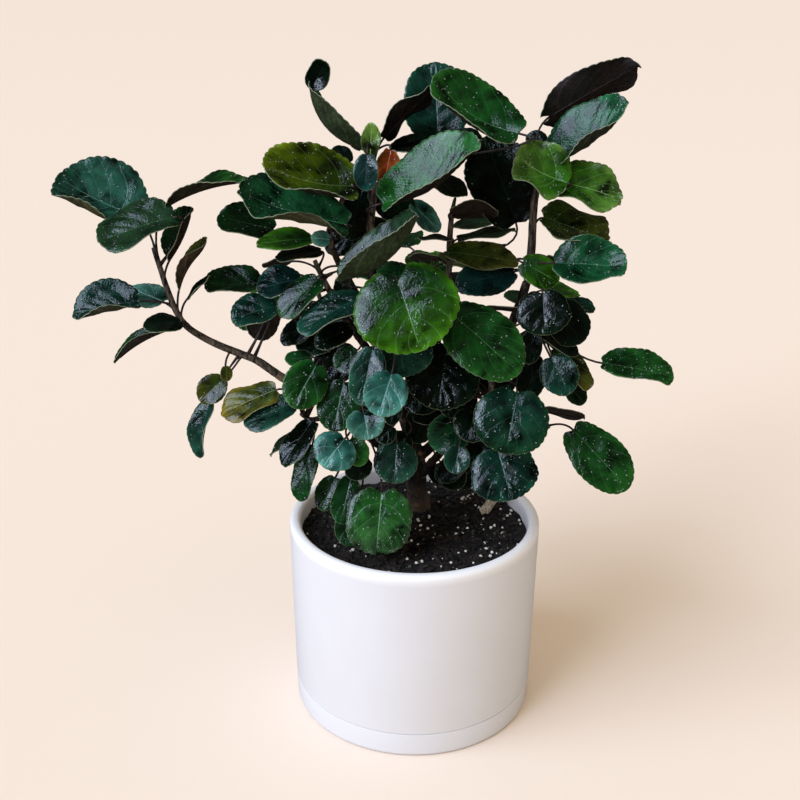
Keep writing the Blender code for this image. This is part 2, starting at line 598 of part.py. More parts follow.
def back_rows(name, count, first, last, draw):
    """Leaves of a hidden shoot: spread round its stem, tips outwards and a little down."""
    points = [seen(x, z, depth) for x, z, depth, _ in STEMS[name]]
    rows = []
    for index in range(count):
        share = (index + 0.5) / count * (len(points) - 1)
        spot = points[int(share)].lerp(points[int(share) + 1], share % 1.0)
        bearing = first + (last - first) * (GOLDEN_SHARE * index % 1.0)
        turn = math.radians(bearing + draw.uniform(-BACK_SWAY, BACK_SWAY))
        out = Vector((math.cos(turn), math.sin(turn), 0.0))
        length = draw.uniform(*BACK_LENGTH)
        base = spot + out * draw.uniform(*BACK_STALK) + Vector((0.0, 0.0, draw.uniform(*BACK_LIFT)))
        tip = base + out * length * 0.85 + Vector((0.0, 0.0, length * draw.uniform(*BACK_HANG)))
        rows.append(row_of(base, tip, length * draw.uniform(*BACK_WIDTH), draw.uniform(*BACK_FOLD)))
    return rows


def row_of(base, tip, width, fold):
    """The row of readings for a leaf whose two ends are known and whose face looks up."""
    ends = []
    for spot in (base, tip):
        reach = (0.0 - EYE.y) / (spot.y - EYE.y)
        ends.append(EYE + (spot - EYE) * reach)
    return (ends[0].x, ends[0].z, ends[1].x, ends[1].z, width, base.y, tip.y, 0.0, BACK_LEAN, fold,
            1.0, 0.0, LOBE)


def all_rows():
    rows = {name: list(table) for name, table in LEAVES.items()}
    draw = random.Random(BACK_SEED)
    for name, (count, first, last) in BACK_SHOOTS.items():
        rows[name] = back_rows(name, count, first, last, draw)
    return rows


def stub(group, finish):
    points = [(STUB_FOOT, STUB_RADIUS), (STUB_FOOT.lerp(STUB_HEAD, 0.5), STUB_RADIUS * 1.05),
              (STUB_HEAD, STUB_RADIUS * 0.85)]
    return tube("cut_stub", points, group, finish, sides=3)


clear_scene()
plant = collection("potted_aralia")
cutters = collection("cutters")

white = material("white_ceramic", (0.86, 0.85, 0.84), 0.45)
earth = material("potting_soil", (0.02, 0.016, 0.013), 0.95)
bark = material("brown_bark", (0.10, 0.065, 0.045), 0.8)
dry_wood = material("dry_wood", (0.42, 0.36, 0.28), 0.8)
green = material("leaf_green", (0.02, 0.09, 0.03), 0.3)

saucer(plant, white)
pot(plant, white)
trunk(plant, bark)
stub(plant, dry_wood)
trunk_foot, trunk_radius = stem_points(TRUNK)[0]
below = Vector((0.0, 0.0, TOUCH))
above = Vector((0.0, 0.0, 60.0))
trunk_hole = (trunk_foot - below, trunk_foot + above, trunk_radius * HOLE_EASE + TOUCH)
stub_aim = (STUB_HEAD - STUB_FOOT).normalized()
stub_hole = (STUB_FOOT - stub_aim * TOUCH, STUB_HEAD, STUB_RADIUS * HOLE_EASE + TOUCH)
soil(plant, earth, [trunk_hole, stub_hole])
for shoot_name, leaf_rows in all_rows().items():
    shoot(shoot_name, leaf_rows, plant, green)
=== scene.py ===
import math
import random

import bpy
import numpy as np
from mathutils import Matrix, Vector, noise


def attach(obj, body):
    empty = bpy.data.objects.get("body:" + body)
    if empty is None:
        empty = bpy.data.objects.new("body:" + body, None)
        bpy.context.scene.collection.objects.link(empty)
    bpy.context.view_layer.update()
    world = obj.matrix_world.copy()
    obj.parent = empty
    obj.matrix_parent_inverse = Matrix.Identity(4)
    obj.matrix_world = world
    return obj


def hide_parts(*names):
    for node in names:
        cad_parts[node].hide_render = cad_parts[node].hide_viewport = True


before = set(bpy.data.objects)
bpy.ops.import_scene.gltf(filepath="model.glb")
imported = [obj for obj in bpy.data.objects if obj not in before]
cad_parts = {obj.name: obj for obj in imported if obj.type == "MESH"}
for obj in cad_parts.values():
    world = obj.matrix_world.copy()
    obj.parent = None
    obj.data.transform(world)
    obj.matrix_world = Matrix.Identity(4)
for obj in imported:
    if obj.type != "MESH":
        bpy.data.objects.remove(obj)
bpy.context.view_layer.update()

# Potted round-leaf aralia in a white cylinder pot. Lengths in the settings are millimetres, and the frame
# is in metres.
mm = 0.001
# gaps that are merged, and the angle past which an edge stays sharp (degrees)
meshSet = {"turnedGap": 0.02, "tubeGap": 0.01, "sharp": 50.0}


def linearColour(code):
    # sRGB hex to the linear values that Blender's sockets take
    values = []
    for start in (1, 3, 5):
        part = int(code[start:start + 2], 16) / 255.0
        values.append(part / 12.92 if part <= 0.04045 else ((part + 0.055) / 1.055) ** 2.4)
    return (*values, 1.0)


def setInputs(tree, node, inputs):
    # an input takes a number, a hex colour, a socket, or a node by its first live output
    for name, value in inputs.items():
        if isinstance(value, bpy.types.Node):
            value = next(socket for socket in value.outputs if socket.enabled)
        if isinstance(value, bpy.types.NodeSocket):
            tree.links.new(value, node.inputs[name])
        else:
            node.inputs[name].default_value = linearColour(value) if isinstance(value, str) else value


def addNode(tree, kind, inputs=None, **settings):
    # a node with its settings, its values and its links
    node = tree.nodes.new(kind)
    for name, value in settings.items():
        setattr(node, name, value)
    setInputs(tree, node, inputs or {})
    return node


def newMaterial(name):
    # an empty Principled material: the tree, its shader and Object coordinates in metres
    made = bpy.data.materials.new(name)
    made.use_nodes = True
    tree = made.node_tree
    return made, tree, tree.nodes["Principled BSDF"], addNode(tree, "ShaderNodeTexCoord").outputs["Object"]


def newObject(name, data):
    made = bpy.data.objects.new(name, data)
    bpy.context.scene.collection.objects.link(made)
    return made


def deselectAll():
    if bpy.context.object and bpy.context.object.mode != "OBJECT":
        bpy.ops.object.mode_set(mode="OBJECT")
    bpy.ops.object.select_all(action="DESELECT")


def activate(obj):
    deselectAll()
    obj.select_set(True)
    bpy.context.view_layer.objects.active = obj


def joinPieces(pieces, name):
    # one object out of several, named for what it is
    activate(pieces[0])
    for piece in pieces:
        piece.select_set(True)
    bpy.ops.object.join()
    joined = bpy.context.object
    joined.name = name
    joined.data.name = name
    return joined


def editWhole(piece):
    activate(piece)
    bpy.ops.object.mode_set(mode="EDIT")
    bpy.ops.mesh.select_all(action="SELECT")


def closeMesh(piece, gap, outwards=True):
    # merges the vertices that meet and turns the faces outwards
    editWhole(piece)
    bpy.ops.mesh.remove_doubles(threshold=gap * mm)
    if outwards:
        bpy.ops.mesh.normals_make_consistent(inside=False)
    bpy.ops.object.mode_set(mode="OBJECT")


def meshPoints(mesh):
    flat = np.empty(len(mesh.vertices) * 3)
    mesh.vertices.foreach_get("co", flat)
    return flat.reshape(-1, 3)


def setPoints(mesh, points):
    mesh.vertices.foreach_set("co", np.ascontiguousarray(points).ravel())
    mesh.update()


def handOver(piece, nodeName=None):
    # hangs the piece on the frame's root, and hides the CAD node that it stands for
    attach(piece, "root")
    if nodeName:
        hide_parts(nodeName)


# Camera: the photograph's, 0.75 m from the plant and looking 21 degrees down
print("camera")
cameraSet = {"place": (-0.011, -0.699, 0.507), "down": 21.4, "roll": 0.35, "lens": 48.6, "sensor": 36.0,
             "near": 0.01}


def makeCamera(s):
    data = bpy.data.cameras.new("camera")
    data.lens = s["lens"]
    data.sensor_width = s["sensor"]
    data.clip_start = s["near"]
    camera = newObject("camera", data)
    camera.matrix_world = (Matrix.Translation(s["place"])
                           @ Matrix.Rotation(math.radians(90.0 - s["down"]), 4, "X")
                           @ Matrix.Rotation(math.radians(s["roll"]), 4, "Z"))
    bpy.context.scene.camera = camera


makeCamera(cameraSet)
bpy.context.scene.view_settings.view_transform = "Standard"

# Light: a large softbox from the left, a low window from the front left, and a warm fill from all round
print("light")
lightSet = {
    "lamps": {"softbox": ("#D3E4FF", 2.65, 50.0, (-0.64, -0.38, 0.67)),
              "window": ("#DCE8FF", 0.75, 20.0, (-0.60, -0.68, 0.42))},
    "fillColour": "#FDEED8", "fillStrength": 0.65, "mirrored": 0.05, "backdrop": "#EFDFD3",
}


def makeLight(s):
    for name, (colour, strength, width, source) in s["lamps"].items():
        data = bpy.data.lights.new(name, "SUN")
        data.color = linearColour(colour)[:3]
        data.energy = strength
        data.angle = math.radians(width)
        newObject(name, data).rotation_euler = Vector(source).to_track_quat("Z", "Y").to_euler()

    world = bpy.data.worlds.new("studio")
    bpy.context.scene.world = world
    world.use_nodes = True
    tree = world.node_tree
    tree.nodes.clear()
    path = addNode(tree, "ShaderNodeLightPath").outputs
    # the room round the paper is dark, so glossy leaves mirror little but the lamps
    strength = addNode(tree, "ShaderNodeMapRange", {
        "Value": path["Is Glossy Ray"], "To Min": s["fillStrength"],
        "To Max": s["fillStrength"] * s["mirrored"]})
    fill = addNode(tree, "ShaderNodeBackground", {"Color": s["fillColour"], "Strength": strength})
    seen = addNode(tree, "ShaderNodeBackground", {"Color": s["backdrop"]})
    mixed = addNode(tree, "ShaderNodeMixShader", {0: path["Is Camera Ray"], 1: fill, 2: seen})
    addNode(tree, "ShaderNodeOutputWorld", {"Surface": mixed})


makeLight(lightSet)

# Floor: seamless studio paper, a matt peach sheet
print("floor")
floorSet = {"size": 60.0, "colour": "#F3E3D3", "roughness": 0.9, "specular": 0.2}


def makeFloor(s):
    deselectAll()
    bpy.ops.mesh.primitive_plane_add(size=s["size"])
    floor = bpy.context.object
    floor.name = "floor"
    paper, tree, shader, _ = newMaterial("studioPaper")
    setInputs(tree, shader, {
        "Base Color": s["colour"], "Roughness": s["roughness"], "Specular IOR Level": s["specular"]})
    floor.data.materials.append(paper)
    # dark cards flag the paper off, so the glossy leaves do not mirror it
    floor.visible_glossy = False


makeFloor(floorSet)

# Pot and saucer
print("pot and saucer")
potSet = {
    "height": 145.0, "radius": 90.0, "footRadius": 88.3, "wall": 8.0, "rimRound": 3.6, "rimSteps": 9,
    "floorThick": 6.0, "floorRound": 6.0, "drain": 6.0, "seam": 19.0, "seamGap": 0.35, "seamRound": 0.5,
    "saucerWall": 5.0, "saucerFloor": 4.0, "saucerRound": 3.0, "saucerSteps": 6, "saucerDraft": 0.6,
    "footClear": 1.2, "touch": 0.3, "steps": 144, "edgeSteps": 4,
}


def arcPoints(centre, radius, start, end, steps):
    points = []
    for step in range(steps + 1):
        turn = math.radians(start + (end - start) * step / steps)
        points.append((centre[0] + radius * math.cos(turn), centre[1] + radius * math.sin(turn)))
    return points


def spinProfile(name, profile, steps, closed=False):
    # a turned piece: its outline is drawn at +X and spun round the pot's axis
    edges = [(index, index + 1) for index in range(len(profile) - 1)]
    if closed:
        edges.append((len(profile) - 1, 0))
    mesh = bpy.data.meshes.new(name)
    mesh.from_pydata([(radius * mm, 0.0, height * mm) for radius, height in profile], edges, [])
    piece = newObject(name, mesh)
    editWhole(piece)
    bpy.ops.mesh.spin(steps=steps, angle=math.tau, center=(0.0, 0.0, 0.0), axis=(0.0, 0.0, 1.0))
    closeMesh(piece, meshSet["turnedGap"])
    bpy.ops.object.shade_smooth_by_angle(angle=math.radians(meshSet["sharp"]))
    return piece


def potInside(s, height):
    share = (height - s["seam"]) / (s["height"] - s["seam"])
    return s["footRadius"] + (s["radius"] - s["footRadius"]) * share - s["wall"]


def makePot(s):
    foot = s["footRadius"] - s["saucerWall"] - s["footClear"]
    bottom = s["saucerFloor"] + s["touch"]
    floor = bottom + s["floorThick"]
    flat = potInside(s, floor) - s["floorRound"]
    rim = s["height"] - s["rimRound"]
    inner = s["radius"] - s["wall"]
    profile = [(s["drain"], floor), (flat, floor)]
    profile += arcPoints((flat, floor + s["floorRound"]), s["floorRound"], -90.0, 0.0, s["edgeSteps"])[1:]
    profile += arcPoints((inner + s["rimRound"], rim), s["rimRound"], 180.0, 90.0, s["rimSteps"])
    profile += arcPoints((s["radius"] - s["rimRound"], rim), s["rimRound"], 90.0, 0.0, s["rimSteps"])
    seamEdge = (s["footRadius"] - s["seamRound"], s["seam"] + s["seamRound"])
    profile += arcPoints(seamEdge, s["seamRound"], 0.0, -90.0, s["edgeSteps"])
    profile += [(foot, s["seam"]), (foot, bottom), (s["drain"], bottom)]
    return spinProfile("pot_glazed", profile, s["steps"], closed=True)


def makeSaucer(s):
    inner = s["footRadius"] - s["saucerWall"]
    top = s["seam"] - s["seamGap"]
    outer = s["footRadius"] - s["seamRound"]
    profile = [(0.0, s["saucerFloor"]), (inner, s["saucerFloor"]), (inner, top), (outer, top)]
    profile += arcPoints((outer, top - s["seamRound"]), s["seamRound"], 90.0, 0.0, s["edgeSteps"])[1:]
    low = (s["footRadius"] - s["saucerDraft"] - s["saucerRound"], s["saucerRound"])
    profile += arcPoints(low, s["saucerRound"], 0.0, -90.0, s["saucerSteps"])
    profile.append((0.0, 0.0))
    return spinProfile("saucer_glazed", profile, s["steps"])


def whiteStoneware():
    # slip-cast stoneware glazed satin white: soft highlight, hardly any grain, a trace of cloudiness
    made, tree, shader, coords = newMaterial("whiteSatinStoneware")
    cloud = addNode(tree, "ShaderNodeTexNoise", {"Vector": coords, "Scale": 28.0, "Detail": 3.0})
    colour = addNode(tree, "ShaderNodeMix", {"Factor": cloud, 6: "#E0E1E5", 7: "#DADADD"}, data_type="RGBA")
    # painted light: the colour turns whiter over the rim, making up for the shade that the leaves cast on it
    height = addNode(tree, "ShaderNodeSeparateXYZ", {0: coords}).outputs["Z"]
    rim = addNode(tree, "ShaderNodeMapRange", {"Value": height, "From Min": 0.137, "From Max": 0.143})
    glazeAndPaintedRimLight = addNode(tree, "ShaderNodeMix", {"Factor": rim, 6: colour, 7: "#F4F5F8"}, data_type="RGBA")
    # its roughness drifts over a few centimetres, and it has an orange peel of about 1.5 mm
    rough = addNode(tree, "ShaderNodeMapRange", {"Value": cloud, "To Min": 0.38, "To Max": 0.5})
    peel = addNode(tree, "ShaderNodeTexNoise", {"Vector": coords, "Scale": 650.0, "Detail": 2.0})
    bump = addNode(tree, "ShaderNodeBump", {"Height": peel, "Strength": 0.06, "Distance": 0.0003})
    setInputs(tree, shader, {"Base Color": glazeAndPaintedRimLight, "Roughness": rough, "IOR": 1.5, "Normal": bump})
    return made


stoneware = whiteStoneware()
for piece, node in ((makePot(potSet), "pot"), (makeSaucer(potSet), "saucer")):
    piece.data.materials.append(stoneware)
    handOver(piece, node)


def scatterCopies(name, pattern, places):
    # one mesh out of many copies of a small pattern mesh; places holds a 4 x 4 matrix for each copy
    verts = np.array([tuple(vert.co) for vert in pattern.vertices])
    faces = [tuple(face.vertices) for face in pattern.polygons]
    allVerts = []
    allFaces = []
    for place in places:
        turn = np.array(place)
        start = len(allVerts) * len(verts)
        allVerts.append(verts @ turn[:3, :3].T + turn[:3, 3])
        allFaces += [tuple(start + index for index in face) for face in faces]
    mesh = bpy.data.meshes.new(name)
    mesh.from_pydata(np.concatenate(allVerts).tolist(), [], allFaces)
    return newObject(name, mesh)


def takePattern(name):
    # the mesh of the primitive just added, once its object is gone
    shape = bpy.context.object
    pattern = shape.data
    pattern.name = name
    bpy.data.objects.remove(shape)
    return pattern


# Where the trunk and its canes run: readings (x, z) on the upright plane through the pot's axis as the eye
# sees them, then the real depth y and the radius.
eye = Vector((-11.0, -699.0, 507.0))
trunkRows = [(4, 118, 30, 9.5), (4, 134, 30, 9.6), (4, 150, 30, 8.8), (1, 168, 26, 7.2), (2, 186, 22, 6.0),
             (-3, 205, 18, 5.2), (-8, 222, 14, 4.6), (-10, 238, 10, 4.2)]

caneRows = {
    "left": [(3, 176, 25, 4.6), (-18, 196, 16, 3.9), (-45, 216, 4, 3.5), (-70, 234, -4, 3.2),
             (-96, 252, -9, 2.9)],
    "left_low": [(-45, 216, 4, 2.6), (-58, 220, -10, 2.2), (-66, 219, -20, 1.9)],
    "left_mid": [(-9, 232, 11, 3.4), (-24, 256, 4, 3.0), (-40, 280, -4, 2.7), (-50, 296, -8, 2.4)],
    "top": [(-10, 236, 10, 4.2), (-16, 262, 8, 3.6), (-24, 292, 5, 3.2), (-30, 322, 2, 2.9),
            (-31, 350, 0, 2.6)],
    "left_top": [(-20, 276, 6, 2.9), (-36, 302, 4, 2.5), (-50, 326, 2, 2.3), (-56, 340, 0, 2.1)],
    "centre": [(-5, 212, 17, 3.4), (6, 240, 24, 2.9), (14, 275, 26, 2.6), (19, 306, 26, 2.3)],
    "right": [(3, 190, 22, 4.4), (18, 206, 20, 4.0), (38, 235, 17, 3.6), (56, 268, 14, 3.3),
              (68, 300, 11, 3.1), (73, 318, 10, 2.9)],
    "right_mid": [(56, 268, 14, 2.7), (66, 276, 4, 2.3), (76, 284, -4, 2.0)],
    "right_low": [(20, 209, 19, 3.0), (45, 214, 10, 2.5), (66, 214, 2, 2.2)],
    "front": [(-9, 230, 12, 3.0), (-13, 250, -10, 2.7), (-16, 266, -26, 2.4)],
    "front_right": [(3, 172, 26, 3.4), (12, 186, 12, 3.0), (28, 204, -4, 2.6), (40, 216, -14, 2.3)],
    "front_left": [(1, 172, 26, 3.4), (-10, 182, 12, 3.0), (-22, 194, -4, 2.6), (-32, 204, -14, 2.3)],
    "back": [(-2, 202, 19, 3.8), (2, 220, 40, 3.2), (6, 246, 58, 2.8), (8, 262, 66, 2.5)],
    "back_left": [(-8, 224, 14, 3.4), (-28, 244, 32, 2.9), (-44, 262, 46, 2.5)],
    "back_right": [(38, 235, 17, 2.9), (48, 248, 34, 2.6), (57, 262, 48, 2.3)],
}

stemRows = {
    "left": [(-110, 262, -11, 2.7), (-122, 267, -12, 2.6), (-140, 275, -14, 2.4), (-155, 285, -15, 2.2),
             (-162, 296, -15, 2.1), (-168, 315, -14, 1.9), (-174, 340, -12, 1.6)],
    "left_low": [(-74, 218, -28, 1.6), (-80, 222, -34, 1.3)],
    "left_mid": [(-58, 310, -12, 2.1), (-64, 322, -14, 1.8), (-68, 332, -14, 1.4)],
    "left_top": [(-58, 352, -4, 1.9), (-52, 366, -6, 1.7), (-46, 380, -6, 1.4)],
    "top": [(-30, 364, -2, 2.3), (-28, 380, -2, 2.1), (-29, 396, -2, 1.8), (-31, 408, -1, 1.4)],
    "centre": [(21, 325, 26, 2.1), (21, 345, 24, 2.0), (22, 363, 22, 1.8), (24, 374, 20, 0.8)],
    "right": [(75, 340, 9, 2.8), (75, 360, 8, 2.6), (76, 378, 8, 2.3), (80, 396, 9, 1.8)],
    "right_mid": [(82, 292, -10, 1.7), (86, 302, -14, 1.4)],
    "right_low": [(82, 212, -6, 1.9), (94, 214, -10, 1.6)],
    "front": [(-17, 284, -36, 2.1), (-18, 304, -44, 1.8), (-20, 318, -48, 1.5)],
    "front_right": [(48, 228, -24, 2.0), (52, 242, -32, 1.8), (48, 262, -38, 1.5)],
    "front_left": [(-38, 216, -24, 2.0), (-42, 232, -32, 1.7), (-42, 250, -38, 1.4)],
    "back": [(8, 284, 76, 2.2), (6, 308, 84, 1.9), (4, 330, 88, 1.5)],
    "back_left": [(-54, 276, 56, 2.2), (-62, 296, 64, 1.9), (-68, 316, 68, 1.5)],
    "back_right": [(62, 276, 58, 2.0), (66, 290, 66, 1.8), (68, 304, 72, 1.4)],
}


